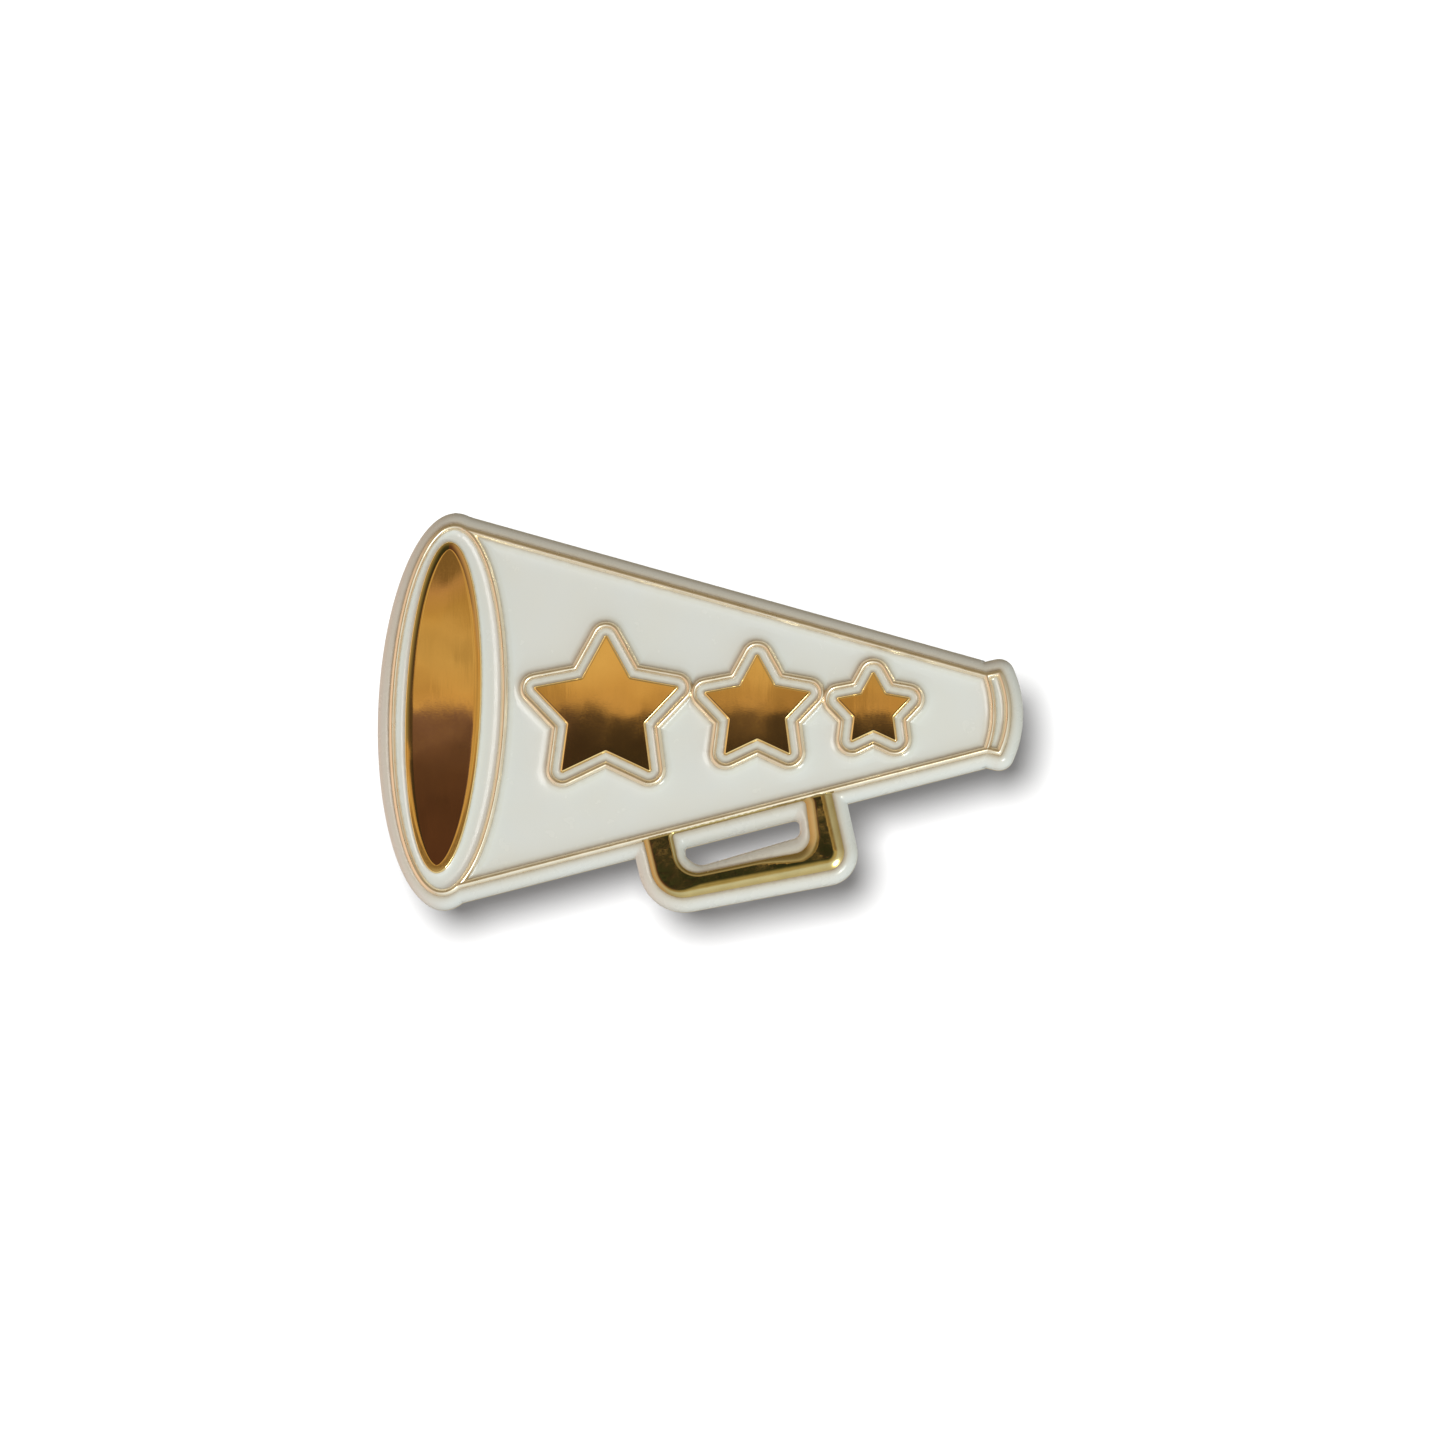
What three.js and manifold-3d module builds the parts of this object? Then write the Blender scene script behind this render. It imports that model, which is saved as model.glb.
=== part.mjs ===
// Megaphone-shaped enamel lapel pin with two posts and two butterfly clutches.
//
// Units are millimetres and +Z is up.  The pin stands upright as it is worn:
// its face looks towards -Y, the wide mouth of the megaphone is towards -X and
// its mouthpiece towards +X.  The origin is on the flat back face of the base
// plate, at the middle of the outline's box.  Posts and clutches stand on +Y.
//
// The plate is drawn in its own flat frame (x right, y up, z out of the face)
// and the whole pin group is turned so that this z becomes -Y.

import * as THREE from 'three';
import { mergeVertices } from 'three/addons/utils/BufferGeometryUtils.js';
import Module from 'manifold-3d';

const wasm = await Module();
wasm.setup();

// ---------------------------------------------------------------- dimensions
const FLANGE_T = 0.30;      // thickness of the plate under the outer border
const FLOOR_T = 0.90;       // recess floor under the enamel
const BORDER_TOP = 1.20;    // top of the white outer border
const ENAMEL_TOP = 1.30;    // top of the enamel in the recesses
const RIDGE_TOP = 1.50;     // top of the raised gold lines and faces
const RIDGE_W = 0.28;       // width of a raised gold line
const BORDER_W = 0.64;      // outer border, from the outline ridge to the edge
const GAP = 0.02;           // space left between a fill and its recess

// mouth of the megaphone: a leaning oval ridge and the gold face inside it
const MOUTH = { x: -12.40, y: 0.20, a: 2.766, b: 9.114, lean: 1.6 };
const MOUTH_FACE = { x: -12.65, y: 0.30, a: 1.853, b: 8.225, lean: 1.9 };

// the cone's two straight ridges, as y = y0 + slope * (x - x0)
const TOP_RIDGE = { x0: 0.0, y0: 5.80, slope: -0.2875 };
const BOTTOM_RIDGE = { x0: -6.94, y0: -7.31, slope: 0.2545 };
const CONE_X0 = -12.2;      // hidden inside the mouth oval
const NECK_X = 14.10;       // where the cone meets the mouthpiece rim

// mouthpiece: two bowed cross ridges, each given by its end, middle and end
const CROSS_1 = [[14.178, 1.70], [14.474, 0.12], [14.133, -1.96]];
const CROSS_2 = [[14.80, 1.87], [15.20, 0.0], [14.76, -2.08]];

// handle loop: corners of the outer line, of the inner edge and of the slot,
// each with its corner radius
const HANDLE_OUTER = [[-2.75, -5.60, 0], [-1.853, -9.282, 1.48], [7.168, -7.593, 0.79], [6.30, -3.60, 0]];
const HANDLE_INNER = [[-1.373, -6.052, 0.20], [-0.889, -8.200, 1.09], [5.553, -6.867, 0.89], [5.236, -4.370, 0.25]];
const SLOT = [[-0.741, -6.679, 0.20], [-0.025, -7.608, 0.69], [4.989, -6.145, 0.40], [4.891, -5.256, 0.25]];

// row of five-pointed stars along the cone: centre and point radius
const STARS = [
  { x: -4.60, y: 0.06, r: 3.85 },
  { x: 2.88, y: 0.08, r: 2.85 },
  { x: 8.60, y: 0.02, r: 2.00 },
];
const STAR_WAIST = 0.53;    // inner radius over point radius
const STAR_BAND = 0.42;     // enamel round each star
const STAR_LINE = 0.27;     // raised line round that enamel

// posts, on the back
const POSTS = { left: [-9.90, 0.30], right: [1.70, -0.20] };
const POST_R = 0.55;
const POST_L = 8.0;
const POST_HEAD_R = 0.95;
const POST_HEAD_T = 0.35;
const GROOVE_R = 0.42;
const GROOVE_AT = 5.0;
const GROOVE_HALF = 0.32;
const TIP_L = 1.1;
const SOLDER_R = 1.60;

// butterfly clutch; u runs along the wings, v across them, h away from the pin
const CAP_AT = 3.6;         // cap's pressing face, from the back of the plate
const CAP_R = 5.0;
const CAP_T = 0.35;
const CAP_RIM = 0.95;
const CAP_HOLE = 0.78;
const BUMP_R = 0.42;
const BUMP_H = 0.22;
const BUMP_AT = 3.35;
const CHEEK_IN = 2.35;      // inner face of the bridge's cheeks
const CHEEK_OUT = 2.70;
const PIVOT = [1.90, 2.30]; // wing pivot, u and h
const PIVOT_R = 0.25;
const PIVOT_HOLE = 0.31;
const WING_W = 4.30;
const WING_T = 0.28;
const SPRING_T = 0.16;

// --------------------------------------------------------------- flat curves
const rad = (deg) => deg * Math.PI / 180;

function oval(e, grow = 0, n = 72) {
  const pts = [];
  const s = Math.sin(rad(e.lean));
  for (let i = 0; i < n; i++) {
    const t = 2 * Math.PI * i / n;
    const dx = (e.a + grow) * Math.cos(t);
    const dy = (e.b + grow) * Math.sin(t);
    pts.push([e.x + dx + s * dy, e.y + dy]);
  }
  return pts;
}

const line = (l, x) => l.y0 + l.slope * (x - l.x0);
const rise = (l, d) => d * Math.hypot(1, l.slope);

function cone(grow = 0, x0 = CONE_X0, x1 = NECK_X) {
  const t = rise(TOP_RIDGE, grow), b = rise(BOTTOM_RIDGE, grow);
  return [
    [x0, line(BOTTOM_RIDGE, x0) - b], [x1, line(BOTTOM_RIDGE, x1) - b],
    [x1, line(TOP_RIDGE, x1) + t], [x0, line(TOP_RIDGE, x0) + t],
  ];
}

// points along the circle through three points, moved sideways by d
function bow(three, d = 0, n = 10, extend = 0) {
  const [[ax, ay], [bx, by], [cx, cy]] = three;
  const D = 2 * (ax * (by - cy) + bx * (cy - ay) + cx * (ay - by));
  const ux = ((ax * ax + ay * ay) * (by - cy) + (bx * bx + by * by) * (cy - ay) + (cx * cx + cy * cy) * (ay - by)) / D;
  const uy = ((ax * ax + ay * ay) * (cx - bx) + (bx * bx + by * by) * (ax - cx) + (cx * cx + cy * cy) * (bx - ax)) / D;
  const r = Math.hypot(ax - ux, ay - uy);
  const a0 = Math.atan2(ay - uy, ax - ux) + extend, a1 = Math.atan2(cy - uy, cx - ux) - extend;
  const pts = [];
  for (let i = 0; i <= n; i++) {
    const a = a0 + (a1 - a0) * i / n;
    pts.push([ux + (r + d) * Math.cos(a), uy + (r + d) * Math.sin(a)]);
  }
  return pts;                                  // from the top end to the bottom
}

// the mouthpiece rim, from inside the cone to the outer cross ridge
function rim(grow = 0) {
  const x = 13.6;
  return offset([
    [x, line(TOP_RIDGE, x) - 0.3], [x, line(BOTTOM_RIDGE, x) + 0.3],
    [14.2, line(BOTTOM_RIDGE, 14.2)], ...bow(CROSS_2, 0, 10).reverse(), [14.2, line(TOP_RIDGE, 14.2)],
  ], grow, 4);
}

// polygon with rounded corners: [x, y, radius] each, counter-clockwise
function rounded(corners, n = 6) {
  const pts = [];
  const m = corners.length;
  for (let i = 0; i < m; i++) {
    const [x, y, r] = corners[i];
    if (!r) { pts.push([x, y]); continue; }
    const [px, py] = corners[(i + m - 1) % m], [qx, qy] = corners[(i + 1) % m];
    const a = Math.hypot(px - x, py - y), b = Math.hypot(qx - x, qy - y);
    const ax = (px - x) / a, ay = (py - y) / a, bx = (qx - x) / b, by = (qy - y) / b;
    const half = Math.acos(ax * bx + ay * by) / 2;
    const t = r / Math.tan(half);
    const mx = ax + bx, my = ay + by, ml = Math.hypot(mx, my);
    const cx = x + mx / ml * r / Math.sin(half), cy = y + my / ml * r / Math.sin(half);
    let s = Math.atan2(y + ay * t - cy, x + ax * t - cx), e = Math.atan2(y + by * t - cy, x + bx * t - cx);
    while (e - s > Math.PI) e -= 2 * Math.PI;
    while (e - s < -Math.PI) e += 2 * Math.PI;
    for (let k = 0; k <= n; k++) {
      const q = s + (e - s) * k / n;
      pts.push([cx + r * Math.cos(q), cy + r * Math.sin(q)]);
    }
  }
  return pts;
}

function isCcw(pts) {
  let s = 0;
  pts.forEach(([x, y], i) => { const [p, q] = pts[(i + 1) % pts.length]; s += x * q - p * y; });
  return s > 0;
}

// outward offset: round at corners that stick out, sharp at corners that go in
function offset(pts, d, steps = 4) {
  const src = isCcw(pts) ? pts : [...pts].reverse();
  const out = [];
  const m = src.length;
  for (let i = 0; i < m; i++) {
    const [x, y] = src[i], [px, py] = src[(i + m - 1) % m], [qx, qy] = src[(i + 1) % m];
    const a = Math.hypot(x - px, y - py), b = Math.hypot(qx - x, qy - y);
    const n1 = [(y - py) / a, -(x - px) / a], n2 = [(qy - y) / b, -(qx - x) / b];
    const turn = n1[0] * n2[1] - n1[1] * n2[0], dot = n1[0] * n2[0] + n1[1] * n2[1];
    if (turn * d > 0.2 && steps > 0) {
      const s = Math.atan2(n1[1], n1[0]);
      let e = Math.atan2(n2[1], n2[0]);
      while (e - s > Math.PI) e -= 2 * Math.PI;
      while (e - s < -Math.PI) e += 2 * Math.PI;
      for (let k = 0; k <= steps; k++) {
        const q = s + (e - s) * k / steps;
        out.push([x + d * Math.cos(q), y + d * Math.sin(q)]);
      }
    } else {
      const f = d / (1 + dot);
      out.push([x + f * (n1[0] + n2[0]), y + f * (n1[1] + n2[1])]);
    }
  }
  return out;
}

function star(s, grow = 0) {
  const corners = [];
  for (let i = 0; i < 10; i++) {
    const a = Math.PI / 2 + i * Math.PI / 5, r = i % 2 ? s.r * STAR_WAIST : s.r;
    corners.push([s.x + r * Math.cos(a), s.y + r * Math.sin(a), i % 2 ? 0 : 0.07]);
  }
  const pts = rounded(corners, 2);
  return grow ? offset(pts, grow, 0) : pts;
}

// ------------------------------------------------------------------- solids
function toSolid(geometry) {
  const g = geometry.clone();
  g.deleteAttribute('normal');
  g.deleteAttribute('uv');
  const m = mergeVertices(g.index ? g.toNonIndexed() : g, 1e-5);
  return new wasm.Manifold(new wasm.Mesh({
    numProp: 3,
    vertProperties: new Float32Array(m.attributes.position.array),
    triVerts: new Uint32Array(m.index.array),
  }));
}

function toGeometry(solid) {
  const mesh = solid.getMesh();
  const g = new THREE.BufferGeometry();
  const n = mesh.numProp, count = mesh.vertProperties.length / n;
  const pos = new Float32Array(count * 3);
  for (let i = 0; i < count; i++) {
    for (let k = 0; k < 3; k++) pos[3 * i + k] = mesh.vertProperties[n * i + k];
  }
  g.setAttribute('position', new THREE.BufferAttribute(pos, 3));
  g.setIndex(new THREE.BufferAttribute(new Uint32Array(mesh.triVerts), 1));
  return g;
}

function slab(pts, z0, z1) {
  const shape = new THREE.Shape(pts.map(([x, y]) => new THREE.Vector2(x, y)));
  const g = new THREE.ExtrudeGeometry(shape, { depth: z1 - z0, bevelEnabled: false, curveSegments: 1 });
  g.translate(0, 0, z0);
  return toSolid(g);
}

const join = (...s) => s.reduce((a, b) => a.add(b));
const cut = (a, ...s) => s.reduce((x, y) => x.subtract(y), a);

function cylinder(r, x, y, z0, z1, n = 28) {
  const g = new THREE.CylinderGeometry(r, r, z1 - z0, n);
  g.rotateX(Math.PI / 2);
  g.translate(x, y, (z0 + z1) / 2);
  return toSolid(g);
}

function lathe(profile, n = 32) {
  const g = new THREE.LatheGeometry(profile.map(([r, z]) => new THREE.Vector2(r, z)), n);
  g.rotateX(Math.PI / 2);                      // the profile's height becomes z
  return toSolid(g);
}

// ---------------------------------------------------------- shared outlines
const W = RIDGE_W / 2;
const HIGH = 3;

// everything that is gold above the flange, filled in, grown by d
function core(z0, z1, d) {
  return join(
    slab(oval(MOUTH, W + d), z0, z1), slab(cone(W + d), z0, z1),
    slab(rim(W + d), z0, z1), slab(offset(rounded(HANDLE_OUTER), W + d), z0, z1),
  );
}

const outerLoop = (z0, z1) => core(z0, z1, BORDER_W);

function starLines(z0, z1, grow) {
  return join(...STARS.map((s) => slab(star(s, STAR_BAND + STAR_LINE + grow), z0, z1)));
}

// each recess of the face, shrunk by g
function bodyRecess(z0, z1, g) {
  const inside = slab(cone(-W - g, -12.0, 14.9), z0, z1);
  const right = bow(CROSS_1, -W - g, 10, 0.05);
  const beyond = slab([...right, [16.5, right[10][1]], [16.5, right[0][1]]], z0 - 1, z1 + 1);
  return cut(inside, slab(oval(MOUTH, W + g), z0 - 1, z1 + 1), beyond, starLines(z0 - 1, z1 + 1, g));
}

function mouthRecess(z0, z1, g) {
  return cut(slab(oval(MOUTH, -W - g), z0, z1), slab(oval(MOUTH_FACE, g), z0 - 1, z1 + 1));
}

function rimRecess(z0, z1, g) {
  const l = bow(CROSS_1, W + g, 8), r = bow(CROSS_2, -W - g, 8);
  const y1 = 1.72 - g, y0 = -1.93 + g;
  const trim = (p) => [[p[0][0], y1], ...p.slice(1, -1), [p[p.length - 1][0], y0]];
  return slab([...trim(l), ...trim(r).reverse()], z0, z1);
}

function starRecess(s, z0, z1, g) {
  return cut(slab(star(s, STAR_BAND - g), z0, z1), slab(star(s, g), z0 - 1, z1 + 1));
}

const slotCut = slab(rounded(SLOT), -1, HIGH);
const slotRecess = (z0, z1, g) => slab(offset(rounded(HANDLE_INNER), -g), z0, z1);

// ------------------------------------------------------------------- plate
const plate = cut(
  join(outerLoop(0, FLANGE_T), core(0, RIDGE_TOP, 0)),
  slotCut,
  slotRecess(FLANGE_T, HIGH, 0),
  bodyRecess(FLOOR_T, HIGH, 0),
  mouthRecess(FLOOR_T, HIGH, 0),
  rimRecess(FLOOR_T, HIGH, 0),
  ...STARS.map((s) => starRecess(s, FLOOR_T, HIGH, 0)),
);

const outerBorder = cut(outerLoop(FLANGE_T + GAP, BORDER_TOP), core(0, HIGH, GAP));
const slotBorder = cut(slotRecess(FLANGE_T + GAP, BORDER_TOP, GAP), slotCut);

// -------------------------------------------------------------------- posts
function post() {
  return lathe([
    [0, -GAP], [POST_HEAD_R, -GAP], [POST_HEAD_R, -POST_HEAD_T], [POST_R, -POST_HEAD_T - 0.1],
    [POST_R, -GROOVE_AT + GROOVE_HALF], [GROOVE_R, -GROOVE_AT + GROOVE_HALF - 0.1],
    [GROOVE_R, -GROOVE_AT - GROOVE_HALF + 0.1], [POST_R, -GROOVE_AT - GROOVE_HALF],
    [POST_R, -POST_L + TIP_L], [0.30, -POST_L + 0.35], [0.10, -POST_L + 0.05], [0, -POST_L],
  ].reverse(), 20);
}

function solder() {
  const r = POST_HEAD_R + 0.03;
  return lathe([
    [r, -GAP], [r, -0.32], [r + 0.12, -0.28], [r + 0.30, -0.13], [SOLDER_R, -0.05], [SOLDER_R, -GAP], [r, -GAP],
  ], 20);
}

// ------------------------------------------------- clutch, in its own frame
function cap() {
  let s = lathe([
    [CAP_HOLE, 0], [CAP_R - 0.28, 0], [CAP_R - 0.08, 0.08], [CAP_R, 0.28], [CAP_R, CAP_RIM],
    [CAP_R - 0.28, CAP_RIM], [CAP_R - 0.30, CAP_T], [CAP_HOLE, CAP_T], [CAP_HOLE, 0],
  ], 36);
  for (let i = 0; i < 4; i++) {
    const a = Math.PI / 4 + i * Math.PI / 2;
    const g = new THREE.CylinderGeometry(BUMP_R, 0.16, BUMP_H + 0.1, 8);
    g.rotateX(Math.PI / 2);
    g.translate(BUMP_AT * Math.cos(a), BUMP_AT * Math.sin(a), (0.1 - BUMP_H) / 2);
    s = s.add(toSolid(g));
  }
  return s;
}

// a sheet whose edge follows a line in u and h, running from v = -w/2 to w/2
function sheet(path, t, w) {
  const up = [], down = [];
  for (let i = 0; i < path.length; i++) {
    const [ax, ay] = path[Math.max(i - 1, 0)], [bx, by] = path[Math.min(i + 1, path.length - 1)];
    const l = Math.hypot(bx - ax, by - ay), nx = -(by - ay) / l, ny = (bx - ax) / l;
    up.push([path[i][0] + nx * t / 2, path[i][1] + ny * t / 2]);
    down.push([path[i][0] - nx * t / 2, path[i][1] - ny * t / 2]);
  }
  const g = slab([...down, ...up.reverse()], -w / 2, w / 2);
  return g.rotate([90, 0, 0]);                 // the line's second axis becomes h
}

function bridge() {
  const side = [
    [-2.55, CAP_T + GAP], [2.55, CAP_T + GAP], [2.62, 2.15], [2.35, 2.75], [1.15, 3.5],
    [-1.15, 3.5], [-2.35, 2.75], [-2.62, 2.15],
  ];
  let cheeks = slab(side, CHEEK_IN, CHEEK_OUT).add(slab(side, -CHEEK_OUT, -CHEEK_IN));
  for (const u of [-PIVOT[0], PIVOT[0]]) {
    cheeks = cheeks.subtract(cylinder(PIVOT_HOLE, u, PIVOT[1], -3, 3, 16));
  }
  cheeks = cheeks.rotate([90, 0, 0]);
  const feet = [1, -1].map((k) => {
    const g = new THREE.BoxGeometry(3.6, 0.75, 0.3);
    g.translate(0, k * (CHEEK_OUT + 0.27), CAP_T + GAP + 0.15);
    return toSolid(g);
  });
  const top = new THREE.BoxGeometry(2.1, 2 * CHEEK_OUT, 0.32);
  top.translate(0, 0, 3.34);
  return cut(join(cheeks, ...feet, toSolid(top)), cylinder(0.80, 0, 0, 3, 4, 20));
}

function spring() {
  const s = sheet([[-1.72, 1.32], [-1.42, 0.92], [-1.10, 0.62], [-0.85, 0.51], [0.85, 0.51], [1.10, 0.62], [1.42, 0.92], [1.72, 1.32]], SPRING_T, 3.0);
  return cut(s, cylinder(0.74, 0, 0, 0, 2, 20));
}

function wing() {
  const s = sheet([
    [0.60, 1.36], [0.95, 1.46], [1.35, 1.76], [PIVOT[0], PIVOT[1]], [2.55, 2.85], [3.25, 3.27],
    [4.05, 3.52], [4.85, 3.68], [5.45, 3.98],
  ], WING_T, WING_W);
  const plan = rounded([[0.3, -3, 0], [4.4, -WING_W / 2, 0.6], [5.62, -1.55, 0.75], [5.62, 1.55, 0.75], [4.4, WING_W / 2, 0.6], [0.3, 3, 0]], 5);
  const pin = cylinder(PIVOT_R, PIVOT[0], PIVOT[1], -CHEEK_OUT + 0.06, CHEEK_OUT - 0.06, 16).rotate([90, 0, 0]);
  return s.intersect(slab(plan, 0, 6)).add(pin);
}

// ----------------------------------------------------------------- assembly
const GOLD = { color: 0xd8b36a, metalness: 1.0, roughness: 0.16 };
const WHITE = { color: 0xe6e8e2, metalness: 0.0, roughness: 0.22 };
const BRASS = { color: 0xc9a24f, metalness: 1.0, roughness: 0.28 };
const TIN = { color: 0xb9bbb8, metalness: 1.0, roughness: 0.45 };

function part(name, solid, look) {
  const mesh = new THREE.Mesh(toGeometry(solid), new THREE.MeshStandardMaterial(look));
  mesh.name = name;
  return mesh;
}

const pin = new THREE.Group();
pin.rotation.x = Math.PI / 2;

pin.add(part('base_plate', plate, GOLD));
pin.add(part('enamel_body_panel', bodyRecess(FLOOR_T + GAP, ENAMEL_TOP, GAP), WHITE));
pin.add(part('enamel_mouth_ring', mouthRecess(FLOOR_T + GAP, ENAMEL_TOP, GAP), WHITE));
pin.add(part('enamel_mouthpiece_band', rimRecess(FLOOR_T + GAP, ENAMEL_TOP, GAP), WHITE));
pin.add(part('enamel_outer_border', outerBorder, WHITE));
pin.add(part('enamel_slot_border', slotBorder, WHITE));
STARS.forEach((s, i) => {
  pin.add(part(`enamel_star_outline_${i + 1}`, starRecess(s, FLOOR_T + GAP, ENAMEL_TOP, GAP), WHITE));
});

for (const [side, [x, y]] of Object.entries(POSTS)) {
  const at = new THREE.Group();
  at.position.set(x, y, 0);
  at.add(part(`post_${side}`, post(), BRASS));
  at.add(part(`solder_${side}`, solder(), TIN));
  pin.add(at);

  const clutch = new THREE.Group();
  clutch.position.set(x, y, -CAP_AT);
  clutch.rotation.x = Math.PI;                 // h points away from the plate
  const turn = new THREE.Group();
  turn.rotation.z = side === 'left' ? Math.PI / 2 : 0;
  clutch.add(turn);
  turn.add(part(`clutch_cap_${side}`, cap(), BRASS));
  turn.add(part(`clutch_bridge_${side}`, bridge(), BRASS));
  turn.add(part(`clutch_spring_${side}`, spring(), TIN));
  // turned this way, +u of the left clutch is down and of the right one is +X
  turn.add(part(side === 'left' ? 'wing_left_lower' : 'wing_right_outer', wing(), BRASS));
  const other = part(side === 'left' ? 'wing_left_upper' : 'wing_right_inner', wing(), BRASS);
  other.rotation.z = Math.PI;
  turn.add(other);
  pin.add(clutch);
}

export default pin;
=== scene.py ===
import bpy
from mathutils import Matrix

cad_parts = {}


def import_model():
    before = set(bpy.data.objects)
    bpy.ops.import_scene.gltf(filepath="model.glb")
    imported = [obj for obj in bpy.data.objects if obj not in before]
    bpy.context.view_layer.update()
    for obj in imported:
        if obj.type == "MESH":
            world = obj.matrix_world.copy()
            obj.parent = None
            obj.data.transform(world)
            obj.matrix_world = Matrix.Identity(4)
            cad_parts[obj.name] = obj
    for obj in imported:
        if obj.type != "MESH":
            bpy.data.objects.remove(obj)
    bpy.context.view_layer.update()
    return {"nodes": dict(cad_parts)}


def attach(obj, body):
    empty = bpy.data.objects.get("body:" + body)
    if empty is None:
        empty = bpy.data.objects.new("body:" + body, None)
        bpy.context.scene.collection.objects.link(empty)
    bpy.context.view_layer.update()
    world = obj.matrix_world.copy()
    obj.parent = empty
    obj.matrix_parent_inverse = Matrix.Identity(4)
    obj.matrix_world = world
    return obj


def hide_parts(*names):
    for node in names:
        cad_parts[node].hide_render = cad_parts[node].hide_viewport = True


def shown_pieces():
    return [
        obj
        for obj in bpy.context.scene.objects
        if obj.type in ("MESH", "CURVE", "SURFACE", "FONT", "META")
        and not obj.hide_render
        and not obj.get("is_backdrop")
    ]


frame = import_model()

import math

import bmesh
import bpy
import numpy as np
from mathutils import Matrix, Vector
from mathutils.geometry import delaunay_2d_cdt
from mathutils.kdtree import KDTree

MM = 0.001

# --------------------------------------------------------------- dimensions
# The CAD source's numbers, in millimetres, in the plate's own flat frame: x right,
# y up, z out of the face.  World is (x, -z, y).  Only the crown of the outer border
# and the slot's lower left corner are refined here.
FLANGE_T, BORDER_TOP = 0.30, 1.29
RIDGE_TOP, FACE_TOP = 1.50, 1.45
RIDGE_W, BORDER_W = 0.28, 0.64
W = RIDGE_W / 2
MOUTH = dict(x=-12.40, y=0.20, a=2.766, b=9.114, lean=1.6)
MOUTH_FACE = dict(x=-12.65, y=0.30, a=1.853, b=8.225, lean=1.9)
TOP_RIDGE = (0.0, 5.80, -0.2875)
BOTTOM_RIDGE = (-6.94, -7.31, 0.2545)
CONE_X0, NECK_X = -12.2, 14.10
CROSS_1 = [(14.178, 1.70), (14.474, 0.12), (14.133, -1.96)]
CROSS_2 = [(14.80, 1.87), (15.20, 0.0), (14.76, -2.08)]
HANDLE_OUTER = [(-2.75, -5.60, 0), (-1.853, -9.282, 1.48), (7.168, -7.593, 0.79), (6.30, -3.60, 0)]
HANDLE_INNER = [(-1.373, -6.052, 0.20), (-0.889, -8.200, 1.09), (5.553, -6.867, 0.89), (5.236, -4.370, 0.25)]
SLOT = [(-0.741, -6.679, 0.15), (-0.68, -7.12, 0.35), (-0.05, -7.615, 0.75), (4.989, -6.145, 0.40), (4.891, -5.256, 0.25)]
STARS = [(-4.60, 0.06, 3.85), (2.88, 0.08, 2.85), (8.60, 0.02, 2.00)]
STAR_WAIST, STAR_BAND, STAR_LINE = 0.53, 0.42, 0.27
POSTS = {"left": (-9.90, 0.30), "right": (1.70, -0.20)}
CAP_AT = 3.6


# -------------------------------------------------------------- flat curves
def oval(e, grow=0.0, n=240):
    t = np.linspace(0, 2 * np.pi, n, endpoint=False)
    dx, dy = (e["a"] + grow) * np.cos(t), (e["b"] + grow) * np.sin(t)
    return np.stack([e["x"] + dx + math.sin(math.radians(e["lean"])) * dy, e["y"] + dy], 1)


def ring(e, d):
    """A line at a constant distance d outside an oval."""
    return offset(oval(e), d, 0) if abs(d) > 1e-9 else oval(e)


def line_y(l, x):
    return l[1] + l[2] * (x - l[0])


def line_pts(l, x0, x1, side=0.0, step=0.35):
    """A straight ridge from x0 to x1, moved up by side measured square to it."""
    n = max(2, int(abs(x1 - x0) / step))
    x = np.linspace(x0, x1, n + 1)
    return np.stack([x, line_y(l, x) + side * math.hypot(1, l[2])], 1)


def cone(grow=0.0, x0=CONE_X0, x1=NECK_X):
    bottom = line_pts(BOTTOM_RIDGE, x0, x1, -grow)
    top = line_pts(TOP_RIDGE, x0, x1, grow)[::-1]
    return np.concatenate([bottom, top])


def bow(three, d=0.0, n=28, extend=0.0):
    (ax, ay), (bx, by), (cx, cy) = three
    D = 2 * (ax * (by - cy) + bx * (cy - ay) + cx * (ay - by))
    ux = ((ax**2 + ay**2) * (by - cy) + (bx**2 + by**2) * (cy - ay) + (cx**2 + cy**2) * (ay - by)) / D
    uy = ((ax**2 + ay**2) * (cx - bx) + (bx**2 + by**2) * (ax - cx) + (cx**2 + cy**2) * (bx - ax)) / D
    r = math.hypot(ax - ux, ay - uy)
    a = np.linspace(math.atan2(ay - uy, ax - ux) + extend, math.atan2(cy - uy, cx - ux) - extend, n + 1)
    return np.stack([ux + (r + d) * np.cos(a), uy + (r + d) * np.sin(a)], 1)


def rounded(corners, n=12):
    pts, m = [], len(corners)
    for i in range(m):
        x, y, r = corners[i]
        if not r:
            pts.append((x, y))
            continue
        (px, py, _), (qx, qy, _) = corners[i - 1], corners[(i + 1) % m]
        a, b = math.hypot(px - x, py - y), math.hypot(qx - x, qy - y)
        ax, ay, bx, by = (px - x) / a, (py - y) / a, (qx - x) / b, (qy - y) / b
        half = math.acos(ax * bx + ay * by) / 2
        t, ml = r / math.tan(half), math.hypot(ax + bx, ay + by)
        cx, cy = x + (ax + bx) / ml * r / math.sin(half), y + (ay + by) / ml * r / math.sin(half)
        s = math.atan2(y + ay * t - cy, x + ax * t - cx)
        e = math.atan2(y + by * t - cy, x + bx * t - cx)
        while e - s > math.pi:
            e -= 2 * math.pi
        while e - s < -math.pi:
            e += 2 * math.pi
        for k in range(n + 1):
            q = s + (e - s) * k / n
            pts.append((cx + r * math.cos(q), cy + r * math.sin(q)))
    return np.array(pts)


def area(p):
    q = np.roll(p, -1, 0)
    return float(np.sum(p[:, 0] * q[:, 1] - q[:, 0] * p[:, 1])) / 2


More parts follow.
